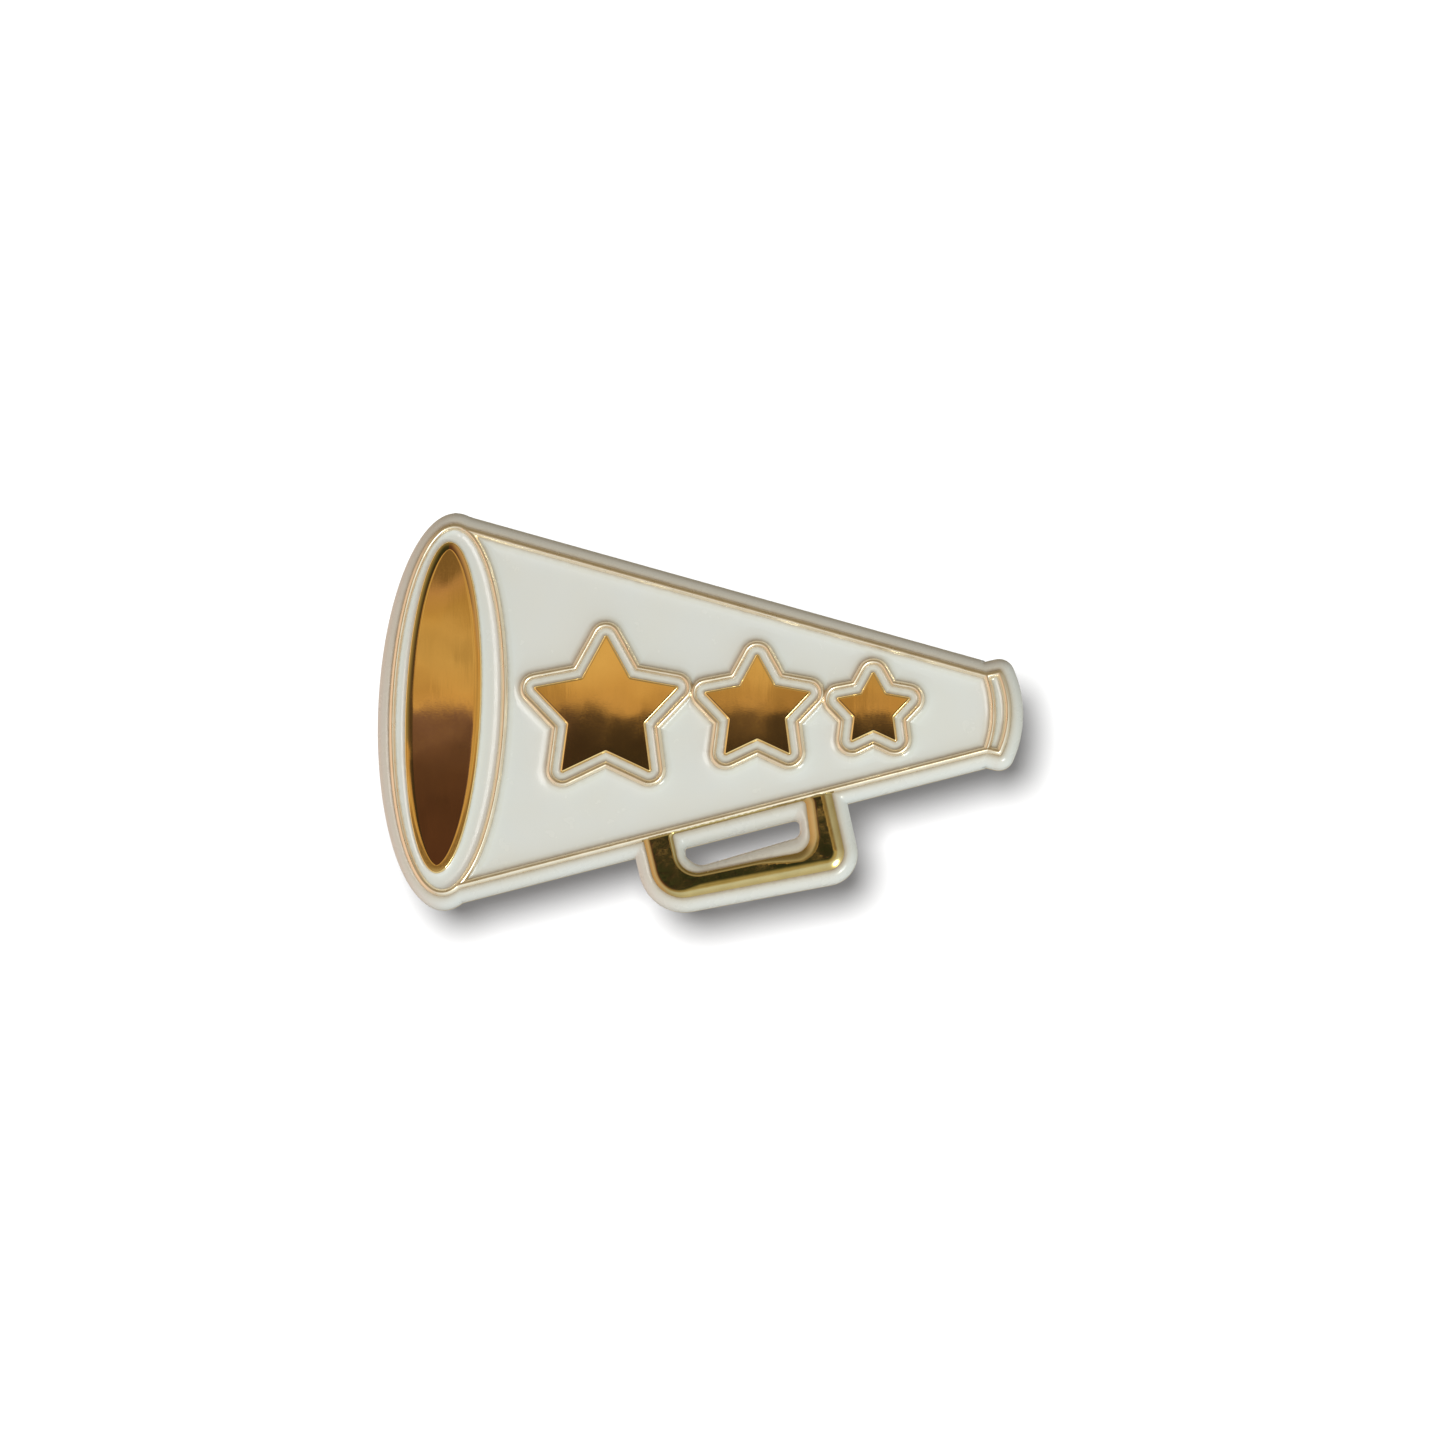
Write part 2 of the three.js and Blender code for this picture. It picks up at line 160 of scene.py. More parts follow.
def offset(pts, d, steps=8):
    """Outward offset: round at corners that stick out, sharp at those that go in."""
    src = pts if area(pts) > 0 else pts[::-1]
    keep = np.linalg.norm(src - np.roll(src, 1, 0), axis=1) > 1e-6
    src = src[keep]
    out, m = [], len(src)
    for i in range(m):
        x, y = src[i]
        px, py = src[i - 1]
        qx, qy = src[(i + 1) % m]
        a, b = math.hypot(x - px, y - py), math.hypot(qx - x, qy - y)
        n1, n2 = ((y - py) / a, -(x - px) / a), ((qy - y) / b, -(qx - x) / b)
        turn, dot = n1[0] * n2[1] - n1[1] * n2[0], n1[0] * n2[0] + n1[1] * n2[1]
        if turn * d > 0.1 and steps > 0:
            s, e = math.atan2(n1[1], n1[0]), math.atan2(n2[1], n2[0])
            while e - s > math.pi:
                e -= 2 * math.pi
            while e - s < -math.pi:
                e += 2 * math.pi
            for k in range(steps + 1):
                q = s + (e - s) * k / steps
                out.append((x + d * math.cos(q), y + d * math.sin(q)))
        else:
            f = d / (1 + dot)
            out.append((x + f * (n1[0] + n2[0]), y + f * (n1[1] + n2[1])))
    return np.array(out)


def dense(pts, closed=True, step=0.12):
    q = np.roll(pts, -1, 0) if closed else pts[1:]
    p = pts if closed else pts[:-1]
    out = []
    for a, b in zip(p, q):
        n = max(1, int(math.ceil(np.linalg.norm(b - a) / step)))
        for k in range(n):
            out.append(a + (b - a) * k / n)
    if not closed:
        out.append(pts[-1])
    return np.array(out)


def star(s, grow=0.0):
    x, y, r = s
    c = np.array([(x + r * (STAR_WAIST if i % 2 else 1.0) * math.cos(math.pi / 2 + i * math.pi / 5),
                   y + r * (STAR_WAIST if i % 2 else 1.0) * math.sin(math.pi / 2 + i * math.pi / 5)) for i in range(10)])
    if abs(grow) > 1e-9:
        c = offset(c, grow, 0)
    radii = (max(0.10 + grow, 0.03), max(0.08 - grow, 0.05))
    return dense(rounded([(q[0], q[1], radii[i % 2]) for i, q in enumerate(c)], 10), True, 0.25)


def rim(grow=0.0):
    x = 13.6
    base = [(x, line_y(TOP_RIDGE, x) - 0.3), (x, line_y(BOTTOM_RIDGE, x) + 0.3), (14.2, line_y(BOTTOM_RIDGE, 14.2))]
    base += [tuple(p) for p in bow(CROSS_2, 0, 28)[::-1]] + [(14.2, line_y(TOP_RIDGE, 14.2))]
    return offset(np.array(base), grow, 10)


def shapes(grow):
    """The four outlines whose union is the gold core, grown."""
    return [oval(MOUTH, grow), cone(grow), rim(grow), offset(rounded(HANDLE_OUTER), grow, 8)]


# ----------------------------------------------- distances and inside tests
class Curves:
    """Nearest point on a set of open and closed lines."""

    def __init__(self, items, step=0.05):
        pts, prv, nxt = [], [], []
        base = 0
        for p, closed in items:
            d = dense(np.asarray(p, float), closed, step)
            n = len(d)
            idx = np.arange(n)
            a, b = idx - 1, idx + 1
            if closed:
                a[0], b[-1] = n - 1, 0
            else:
                a[0], b[-1] = 0, n - 1
            pts.append(d)
            prv.append(a + base)
            nxt.append(b + base)
            base += n
        self.p, self.prv, self.nxt = np.concatenate(pts), np.concatenate(prv), np.concatenate(nxt)
        self.kd = KDTree(len(self.p))
        for i, (x, y) in enumerate(self.p):
            self.kd.insert((x, y, 0.0), i)
        self.kd.balance()

    def dist(self, q):
        find = self.kd.find
        i = np.fromiter((find((x, y, 0.0))[1] for x, y in q), int, len(q))
        best = np.full(len(q), 1e9)
        for j in (self.prv[i], self.nxt[i]):
            a, ab = self.p[i], self.p[j] - self.p[i]
            t = np.clip(np.sum((q - a) * ab, 1) / np.maximum(np.sum(ab * ab, 1), 1e-12), 0, 1)
            best = np.minimum(best, np.linalg.norm(q - a - t[:, None] * ab, axis=1))
        return best


def inside(poly, q):
    """Even-odd test, many points at once."""
    x, y = q[:, 0], q[:, 1]
    out = np.zeros(len(q), bool)
    p, r = poly, np.roll(poly, -1, 0)
    for (x0, y0), (x1, y1) in zip(p, r):
        if y0 == y1:
            continue
        c = (y0 > y) != (y1 > y)
        out ^= c & (x < (x1 - x0) * (y - y0) / (y1 - y0) + x0)
    return out


def inside_any(polys, q):
    out = np.zeros(len(q), bool)
    for p in polys:
        out |= inside(p, q)
    return out


def union_outline(polys):
    """The stretches of each outline that lie outside all the others."""
    runs = []
    for i, p in enumerate(polys):
        d = dense(p, True, 0.05)
        free = ~inside_any([q for j, q in enumerate(polys) if j != i], d)
        if free.all():
            runs.append((d, True))
            continue
        start = int(np.argmin(free))
        d, free = np.roll(d, -start, 0), np.roll(free, -start)
        k = 0
        while k < len(d):
            if free[k]:
                m = k
                while m < len(d) and free[m]:
                    m += 1
                if m - k > 1:
                    runs.append((d[k:m], False))
                k = m
            else:
                k += 1
    return runs


# ----------------------------------------------------------- solid from map
def world(p):
    """Flat frame in mm to world metres."""
    p = np.asarray(p, float)
    return np.stack([p[:, 0], -p[:, 2], p[:, 1]], 1) * MM


def relief(name, loops, mask, top, bottom, seeds=None, edge=None):
    """A closed solid over the flat region where mask is true.  Its upper side follows
    top(x, y) and its lower side bottom(x, y).  loops are lines the mesh must follow."""
    verts, edges = [], []
    for p, closed in loops:
        b, n = len(verts), len(p)
        verts += [Vector((float(x), float(y))) for x, y in p]
        edges += [(b + i, b + (i + 1) % n) for i in range(n if closed else n - 1)]
    if seeds is not None and len(seeds):
        verts += [Vector((float(x), float(y))) for x, y in seeds]
    v, _, f, *_ = delaunay_2d_cdt(verts, edges, [], 0, 1e-5)
    v = np.array([(a.x, a.y) for a in v])
    f = np.array([t for t in f if len(t) == 3], int)
    f = f[mask(v[f].mean(1))]
    a, b, c = v[f[:, 0]], v[f[:, 1]], v[f[:, 2]]
    cr = (b[:, 0] - a[:, 0]) * (c[:, 1] - a[:, 1]) - (b[:, 1] - a[:, 1]) * (c[:, 0] - a[:, 0])
    f = f[np.abs(cr) > 1e-8]
    cr = cr[np.abs(cr) > 1e-8]
    f[cr < 0] = f[cr < 0][:, ::-1]
    used, inv = np.unique(f, return_inverse=True)
    f, v = inv.reshape(f.shape), v[used]
    n = len(v)
    zt, zb = top(v), bottom(v)
    h = 0.003
    ex, ey = np.array([h, 0]), np.array([0, h])
    gx, gy = (top(v + ex) - top(v - ex)) / (2 * h), (top(v + ey) - top(v - ey)) / (2 * h)
    nt = np.stack([-gx, -gy, np.ones(n)], 1)
    nt /= np.linalg.norm(nt, axis=1)[:, None]
    # boundary edges, with the region on their left
    e = np.concatenate([f[:, [0, 1]], f[:, [1, 2]], f[:, [2, 0]]])
    key = {}
    for i, j in e:
        key[(int(i), int(j))] = key.get((int(i), int(j)), 0) + 1
    rim_e = [(i, j) for (i, j) in key if (j, i) not in key]
    out = np.zeros((n, 2))
    for i, j in rim_e:
        d = v[j] - v[i]
        nn = np.array([d[1], -d[0]]) / max(np.linalg.norm(d), 1e-9)
        out[i] += nn
        out[j] += nn
    out /= np.maximum(np.linalg.norm(out, axis=1), 1e-9)[:, None]
    faces, normals = [], []
    for t in f:
        faces.append(tuple(int(k) for k in t))
        normals += [nt[k] for k in t]
    for t in f:
        faces.append((int(t[2]) + n, int(t[1]) + n, int(t[0]) + n))
        normals += [(0, 0, -1)] * 3
    for i, j in rim_e:
        faces.append((i, i + n, j + n, j))
        ni, nj = (*out[i], 0), (*out[j], 0)
        normals += [ni, ni, nj, nj]
    p = np.concatenate([np.column_stack([v, zt]), np.column_stack([v, zb])])
    me = bpy.data.meshes.new(name)
    me.from_pydata([tuple(q) for q in world(p)], [], faces)
    me.shade_smooth()
    nn = np.asarray(normals, float)
    me.normals_split_custom_set([(q[0], -q[2], q[1]) for q in nn])
    if edge is not None:
        # for white: how far each point is from the nearest metal line, in mm, which drives the painted shade near the
        # lines; for gold: how far onto the handle's rounded edges, which drives their roughness and their painted
        # shade
        far = np.maximum(edge(v), 0.0)
        me.attributes.new("from_metal", "FLOAT", "POINT").data.foreach_set("value", np.concatenate([far, far]).astype(np.float32))
    ob = bpy.data.objects.new(name, me)
    bpy.context.scene.collection.objects.link(ob)
    return ob


def const(z):
    return lambda q: np.full(len(q), float(z))


def grid(x0, x1, y0, y1, step):
    """Points of a triangular grid."""
    rows = np.arange(y0, y1, step * 0.866)
    out = []
    for k, y in enumerate(rows):
        x = np.arange(x0 + (step / 2 if k % 2 else 0), x1, step)
        out.append(np.stack([x, np.full(len(x), y)], 1))
    return np.concatenate(out)


# --------------------------------------------------------- lines and fields
rim_line = np.concatenate([[(14.2, line_y(TOP_RIDGE, 14.2))], bow(CROSS_2, 0, 28), [(14.2, line_y(BOTTOM_RIDGE, 14.2))]])
RIDGES = [
    (oval(MOUTH), True),
    (line_pts(TOP_RIDGE, -11.70, 14.2), False),
    (line_pts(BOTTOM_RIDGE, -11.80, 14.2), False),
    (bow(CROSS_1, 0, 20), False),
    (rim_line, False),
] + [(star(s, STAR_BAND + STAR_LINE / 2), True) for s in STARS]
ridge_field = Curves(RIDGES)
mouth_field, star_field = Curves([(oval(MOUTH_FACE), True)]), Curves([(star(s), True) for s in STARS])
face_field = Curves([(oval(MOUTH_FACE), True)] + [(star(s), True) for s in STARS])
star_polys = [star(s) for s in STARS]
H_OUT, H_IN, SLOT_P = offset(rounded(HANDLE_OUTER), W, 8), rounded(HANDLE_INNER), rounded(SLOT)
hout_field, hin_field, slot_field = Curves([(H_OUT, True)]), Curves([(H_IN, True)]), Curves([(SLOT_P, True)])
core_field = Curves([(p, True) for p in shapes(W)])
CORE_IN = shapes(W - 0.06)
CORE_FOOT = [oval(MOUTH, 0.20), cone(0.20), rim(0.20), offset(rounded(HANDLE_OUTER), W + 0.10, 8)]
EDGE = shapes(W + BORDER_W)

RIDGE_HALF = 0.172


def ramp01(x, a, b):
    t = np.clip((x - a) / (b - a), 0, 1)
    return t * t * (3 - 2 * t)


def ridge_z(d):
    return RIDGE_TOP - 0.20 * (d / RIDGE_HALF) ** 2


def handle_sides(p):
    """Signed distances to the handle's outer and inner outlines, and how wide each is rounded over."""
    so = hout_field.dist(p) * np.where(inside(H_OUT, p), -1, 1)
    si = hin_field.dist(p) * np.where(inside(H_IN, p), 1, -1)
    # rounded further over below and to the right than on its left leg
    return so, si, 0.28 + 0.32 * ramp01(p[:, 0], -1.8, 0.5), 0.17 + 0.33 * ramp01(p[:, 0], 2.8, 5.2)


def near_handle(q):
    return (q[:, 1] < -3.0) & (q[:, 0] > -4) & (q[:, 0] < 9)


def handle_edge_wear_and_shade(q):
    """1 at the handle's rounded edges, 0 on its polished face and everywhere else: the handle material makes these
    edges rougher and paints shade on them.
    """
    out = np.zeros(len(q))
    near = near_handle(q)
    so, si, e_out, e_in = handle_sides(q[near])
    out[near] = np.maximum(np.clip(1 + so / e_out, 0, 1), np.clip(1 + si / e_in, 0, 1))
    return out


def gold_top(q):
    z = np.where(inside_any(CORE_FOOT, q) & ~inside(H_IN, q), 0.95, FLANGE_T)
    dr = ridge_field.dist(q)
    z = np.where(dr < 0.222, np.maximum(z, ridge_z(dr)), z)
    ds = star_field.dist(q) * np.where(inside_any(star_polys, q), -1, 1)
    e = 0.09
    zs = FACE_TOP - np.where(ds > -e, 8.0 * np.maximum(ds + e, 0) ** 2, 0) - 60 * np.maximum(ds, 0) ** 2
    z = np.where(ds < 0.12, np.maximum(z, zs), z)
    dm = mouth_field.dist(q) * np.where(inside(oval(MOUTH_FACE), q), -1, 1)
    # the mouth is dished: it sinks away from its rim over a third of a millimetre
    t = np.clip(-(dm + 0.03) / 0.36, 0, 1)
    dish = 0.030 * (1 - (1 - t) ** 2)
    zm = FACE_TOP - dish - np.where(dm > -0.03, 22.0 * np.maximum(dm + 0.03, 0) ** 2, 0) - 60 * np.maximum(dm, 0) ** 2
    z = np.where(dm < 0.12, np.maximum(z, zm), z)
    near = near_handle(q)
    if near.any():
        p = q[near]
        so, si, e_out, e_in = handle_sides(p)
        sl = (p[:, 1] - line_y(BOTTOM_RIDGE, p[:, 0])) / math.hypot(1, BOTTOM_RIDGE[2])
        drop = 0.33 / e_out * np.maximum(so + e_out, 0) ** 2 + 0.42 / e_in * np.maximum(si + e_in, 0) ** 2 + 2.0 * np.maximum(sl + 0.2, 0) ** 2
        dh = np.maximum(np.maximum(so, si), sl)
        zh = FACE_TOP + 0.03 - drop - 60 * np.maximum(dh, 0) ** 2
        z[near] = np.where(dh < 0.12, np.maximum(z[near], zh), z[near])
    return z


edge_field = Curves(union_outline(EDGE))


def gold_bottom(q):
    """The back is flat, with its outer edge rounded off a little."""
    d = edge_field.dist(q)
    r = 0.09
    return np.where(d < r, r - np.sqrt(np.maximum(r * r - (r - np.clip(d, 0, r)) ** 2, 0)), 0.0)


shapes_w = shapes(W)


def both(pts, closed, ds, **k):
    """A line's copies at each distance to both sides."""
    out = []
    for d in ds:
        if closed:
            out.append((offset(pts, d, 6), True))
        else:
            seg = pts[1:] - pts[:-1]
            nrm = np.stack([-seg[:, 1], seg[:, 0]], 1) / np.linalg.norm(seg, axis=1)[:, None]
            nv = np.concatenate([nrm[:1], (nrm[1:] + nrm[:-1]) / 2, nrm[-1:]])
            nv /= np.linalg.norm(nv, axis=1)[:, None]
            out.append((pts + nv * d, False))
    return out


RIDGE_STEPS = (-0.24, -0.205, -0.16, -0.12, -0.085, -0.045, 0.0, 0.045, 0.085, 0.12, 0.16, 0.205, 0.24)


def ridge_loops():
    out = []
    for k in RIDGE_STEPS:
        out.append((ring(MOUTH, k), True))
        for s in STARS:
            out.append((star(s, STAR_BAND + STAR_LINE / 2 + k), True))
    for l, x0 in ((TOP_RIDGE, -11.70), (BOTTOM_RIDGE, -11.80)):
        out += both(line_pts(l, x0, 14.2), False, RIDGE_STEPS)
    out += both(bow(CROSS_1, 0, 20), False, RIDGE_STEPS)
    out += both(rim_line, False, RIDGE_STEPS)
    return out


def build_gold():
    loops = ridge_loops()
    for k in (-0.43, -0.39, -0.32, -0.25, -0.18, -0.11, -0.05, -0.02, 0.01, 0.04, 0.08, 0.12):
        loops.append((ring(MOUTH_FACE, k), True))
    for k in (-0.125, -0.09, -0.06, -0.03, 0.0, 0.03, 0.06, 0.12):
        loops += [(star(s, k), True) for s in STARS]
    for k in (-0.64, -0.60, -0.53, -0.46, -0.38, -0.31, -0.24, -0.18, -0.13, -0.08, -0.04, 0.0, 0.04, 0.10):
        loops.append((offset(H_OUT, k, 6), True))
        loops.append((dense(offset(H_IN, -k, 6), True, 0.3), True))
    for k in (W + BORDER_W, W + BORDER_W - 0.03, W + BORDER_W - 0.09, 0.26):
        loops += [(p, True) for p in shapes(k)]
    loops.append((SLOT_P, True))
    g = grid(-15.0, -10.3, -8.4, 9.0, 0.28)
    seeds = [g[inside(ring(MOUTH_FACE, -0.50), g)]]
    for s in STARS:
        g = grid(s[0] - s[2], s[0] + s[2], s[1] - s[2], s[1] + s[2], 0.28)
        seeds.append(g[inside(star(s, -0.24), g)])
    seeds = np.concatenate(seeds)

    def mask(c):
        return inside_any(EDGE, c) & ~inside(SLOT_P, c)

    return relief("gold_plate", loops, mask, gold_top, gold_bottom, seeds, edge=handle_edge_wear_and_shade)


# -------------------------------------------------------------- white fills
def meniscus(d, rise, reach):
    return rise * np.exp(-np.maximum(d, -0.05) / reach)


def body_top(q):
    d = ridge_field.dist(q) - W
    return 1.150 + meniscus(d, 0.07, 0.13) + meniscus(d, 0.115, 0.40)


def band_top(q):
    d1 = ridge_field.dist(q) - W
    d2 = face_field.dist(q)
    return 1.13 + meniscus(d1, 0.17, 0.24) + meniscus(d2, 0.17, 0.24)


def band_edge(q):
    return np.minimum(ridge_field.dist(q) - W, face_field.dist(q))


def rim_top(q):
    d1 = ridge_field.dist(q) - W
    return 1.15 + meniscus(d1, 0.16, 0.22)


FILL_FOOT = 1.0
LAP = 0.07      # how far a fill runs under the flank of a ridge


def build_body():
    loops = []
    for k in (-LAP, 0.0, 0.05, 0.11, 0.19, 0.30, 0.46, 0.68):
        x0 = -12.0 + k
        loops += [(line_pts(TOP_RIDGE, x0, 14.6, -W - k, 0.5), False), (line_pts(BOTTOM_RIDGE, x0, 14.6, W + k, 0.5), False)]
        loops.append((ring(MOUTH, W + k), True))
        loops.append((bow(CROSS_1, -W - k, 20, 0.05), False))
        for s in STARS:
            loops.append((star(s, STAR_BAND + STAR_LINE + k), True))
    inner_oval = ring(MOUTH, W - LAP)
    outline = cone(-W + LAP, -12.0, 14.9)
    lines = [star(s, STAR_BAND + STAR_LINE - LAP) for s in STARS]
    right_ = bow(CROSS_1, -W + LAP, 20, 0.05)
    beyond = np.concatenate([right_, [(17, right_[-1][1]), (17, right_[0][1])]])

    def mask(c):
        return inside(outline, c) & ~inside(inner_oval, c) & ~inside_any(lines, c) & ~inside(beyond, c) & (c[:, 0] < 14.6)

    seeds = grid(-11, 14, -9, 9, 0.36)
    seeds = seeds[ridge_field.dist(seeds) > W + 0.68 + 0.16]
    return relief("white_body_panel", loops, mask, body_top, const(FILL_FOOT), seeds, edge=lambda q: ridge_field.dist(q) - W)


def build_mouth_ring():
    a, b = ring(MOUTH, -W + LAP), ring(MOUTH_FACE, -0.03)
    loops = [(a, True), (b, True)]
    for k in (0.0, 0.04, 0.09, 0.15, 0.22, 0.30):
        loops += [(ring(MOUTH, -W - k), True), (ring(MOUTH_FACE, k), True)]
    return relief("white_mouth_ring", loops, lambda c: inside(a, c) & ~inside(b, c), band_top, const(FILL_FOOT), edge=band_edge)


def build_rim_band():
    loops = []
    left, right = bow(CROSS_1, W - LAP, 20), bow(CROSS_2, -W + LAP, 28)
    poly = np.concatenate([left, right[::-1]])
    loops.append((poly, True))
    for k in (0.0, 0.05, 0.11, 0.18):
        loops += [(bow(CROSS_1, W + k, 20), False), (bow(CROSS_2, -W - k, 28), False)]
    return relief("white_mouthpiece_band", loops, lambda c: inside(poly, c), rim_top, const(FILL_FOOT), edge=lambda q: ridge_field.dist(q) - W)


def build_star_band(i):
    s = STARS[i]
    loops = []
    for k in (-0.03, 0.0, 0.04, 0.09, 0.15, 0.21, 0.27, 0.33, 0.38, STAR_BAND, STAR_BAND + LAP):
        loops.append((star(s, k), True))
    a, b = star(s, STAR_BAND + LAP), star(s, -0.03)
    return relief(f"white_star_outline_{i + 1}", loops, lambda c: inside(a, c) & ~inside(b, c), band_top, const(FILL_FOOT), edge=band_edge)


def roll(t, foot, crown, t0=0.06, dip=0.0):
    """Cross-section of a rolled white edge: t is 0 at the gold line and 1 at the outside."""
    t = np.clip(t, 0, 1)
    up = crown - dip * np.clip((t0 - t) / t0, 0, 1) ** 2
    s = np.clip((t - t0) / (1 - t0), 0, 1)
    return np.where(t < t0, up, foot + (crown - foot) * np.sqrt(np.maximum(1 - s**2.05, 0)))


BORDER_STEPS = (-LAP, 0.0, 0.06, 0.12, 0.19, 0.27, 0.35, 0.42, 0.48, 0.53, 0.57, 0.60, 0.62, 0.634, BORDER_W)


def border_top(q):
    a = core_field.dist(q) * np.where(inside_any(shapes_w, q), -1, 1)
    b = edge_field.dist(q) * np.where(inside_any(EDGE, q), 1, 0)
    return roll(a / np.maximum(a + b, 1e-6), 0.62, BORDER_TOP)


def build_border():
    loops = []
    for k in BORDER_STEPS:
        loops += [(p, True) for p in shapes(W + k)]
    hole = [oval(MOUTH, W - LAP), cone(W - LAP), rim(W - LAP), offset(rounded(HANDLE_OUTER), W - LAP, 8)]

    def mask(c):
        return inside_any(EDGE, c) & ~inside_any(hole, c)

    return relief("white_outer_border", loops, mask, border_top, const(FLANGE_T), edge=lambda q: core_field.dist(q) * np.where(inside_any(shapes_w, q), 0, 1))


def slot_top(q):
    a = hin_field.dist(q) * np.where(inside(H_IN, q), 1, -1)
    b = slot_field.dist(q) * np.where(inside(SLOT_P, q), -1, 1)
    a = np.maximum(a, -0.02)
    return roll(a / np.maximum(a + np.maximum(b, 0), 1e-6), 0.62, 1.27, 0.12, 0.0)


def build_slot_border():
    loops = []
    for k in (0.06, 0.0, -0.05, -0.11, -0.18, -0.26, -0.34):
        loops.append((dense(offset(H_IN, k, 6), True, 0.3), True))
    for k in (0.0, 0.008, 0.02, 0.04, 0.07, 0.11, 0.16, 0.22, 0.29, 0.36):
        loops.append((dense(offset(SLOT_P, k, 6), True, 0.3), True))
    a = offset(H_IN, 0.06, 6)
    return relief("white_slot_border", loops, lambda c: inside(a, c) & ~inside(SLOT_P, c), slot_top, const(FLANGE_T), edge=lambda q: hin_field.dist(q) * np.where(inside(H_IN, q), 1, 0))


# ------------------------------------------------------- posts and clutches
def turn_uvh(side):
    """Matrix from a clutch's own frame (u along its wings, v across, h away from the pin), in mm, to the world."""
    x, z = POSTS[side]
    u, v = ((0, 0, -1), (-1, 0, 0)) if side == "left" else ((1, 0, 0), (0, 0, -1))
    m = Matrix(((u[0], v[0], 0, x), (u[1], v[1], 1, CAP_AT), (u[2], v[2], 0, z), (0, 0, 0, 1)))
    return Matrix.Scale(MM, 4) @ m


def link(name, bm, matrix, sharp=35.0):
    bmesh.ops.recalc_face_normals(bm, faces=bm.faces)
    me = bpy.data.meshes.new(name)
    bm.to_mesh(me)
    bm.free()
    me.transform(matrix)
    if matrix.determinant() < 0:
        me.flip_normals()
    me.shade_smooth()
    me.set_sharp_from_angle(angle=math.radians(sharp))
    ob = bpy.data.objects.new(name, me)
    bpy.context.scene.collection.objects.link(ob)
    return ob


def lathe_bm(profile, n, warp=None):
    """Closed revolve of a closed (r, h) profile about the h axis."""
    bm = bmesh.new()
    on_axis = [abs(r) < 1e-9 for r, _ in profile]
    rings = []
    for i, (r, h) in enumerate(profile):
        if on_axis[i]:
            rings.append([bm.verts.new((0, 0, h))] * n)
        else:
            rings.append([bm.verts.new((r * math.cos(2 * math.pi * k / n), r * math.sin(2 * math.pi * k / n), h)) for k in range(n)])
    m = len(profile)
    for i in range(m):
        a, b = rings[i], rings[(i + 1) % m]
        if on_axis[i] and on_axis[(i + 1) % m]:
            continue
        for k in range(n):
            j = (k + 1) % n
            vs = []
            for v in (a[k], a[j], b[j], b[k]):
                if v not in vs:
                    vs.append(v)
            if len(vs) > 2:
                bm.faces.new(vs)
    if warp:
        for v in bm.verts:
            warp(v.co)
    return bm


def thin(profile, step):
    """Adds points along a closed profile so that no step is longer than this."""
    return [tuple(p) for p in dense(np.array(profile, float), True, step)]


def build_cap(side):
    prof = rounded([(0.78, 0, 0.10), (5.0, 0, 0.27), (5.0, 0.95, 0.13), (4.73, 0.95, 0.13), (4.70, 0.35, 0.14), (0.78, 0.35, 0.10)], 6)
    prof = thin(prof, 0.14)

    def warp(co):
        r = math.hypot(co.x, co.y)
        if r > 4.5:
            return
        for i in range(4):
            a = math.pi / 4 + i * math.pi / 2
            d = math.hypot(co.x - 3.35 * math.cos(a), co.y - 3.35 * math.sin(a))
            if d < 0.5:
                co.z -= 0.20 * (0.5 + 0.5 * math.cos(math.pi * d / 0.5))
        # a faint pressed ring, as the stamping tool leaves it
        co.z -= 0.035 * math.exp(-((r - 4.15) / 0.10) ** 2)

    return link(f"cap_shell_{side}", lathe_bm(prof, 144, warp), turn_uvh(side), 40)


def from_cad(node, name, width, clean=2.0):
    """A copy of a CAD solid with its edges rounded over."""
    bm = bmesh.new()
    bm.from_mesh(frame["nodes"][node].data)
    bmesh.ops.remove_doubles(bm, verts=bm.verts, dist=1e-7)
    bmesh.ops.scale(bm, vec=(1000, 1000, 1000), verts=bm.verts)
    bmesh.ops.dissolve_limit(bm, angle_limit=math.radians(clean), verts=bm.verts, edges=bm.edges)
    edges = [e for e in bm.edges if len(e.link_faces) == 2 and e.calc_face_angle(0) > math.radians(28)]
    bmesh.ops.bevel(bm, geom=edges, offset=width, segments=3, profile=0.5, affect="EDGES", clamp_overlap=True)
    bmesh.ops.triangulate(bm, faces=bm.faces)
    return link(name, bm, Matrix.Scale(MM, 4), 30)


def spline(pts, n):
    p = np.asarray(pts, float)
    p = np.concatenate([[2 * p[0] - p[1]], p, [2 * p[-1] - p[-2]]])
    out = []
    for i in range(1, len(p) - 2):
        for k in range(n):
            t = k / n
            out.append(0.5 * ((2 * p[i]) + (p[i + 1] - p[i - 1]) * t + (2 * p[i - 1] - 5 * p[i] + 4 * p[i + 1] - p[i + 2]) * t**2 + (3 * p[i] - p[i - 1] - 3 * p[i + 1] + p[i + 2]) * t**3))
    out.append(p[-2])
    return np.array(out)


WING = [(0.60, 1.36), (0.95, 1.46), (1.35, 1.76), (1.90, 2.30), (2.55, 2.85), (3.25, 3.27), (4.05, 3.52), (4.85, 3.68), (5.45, 3.96)]


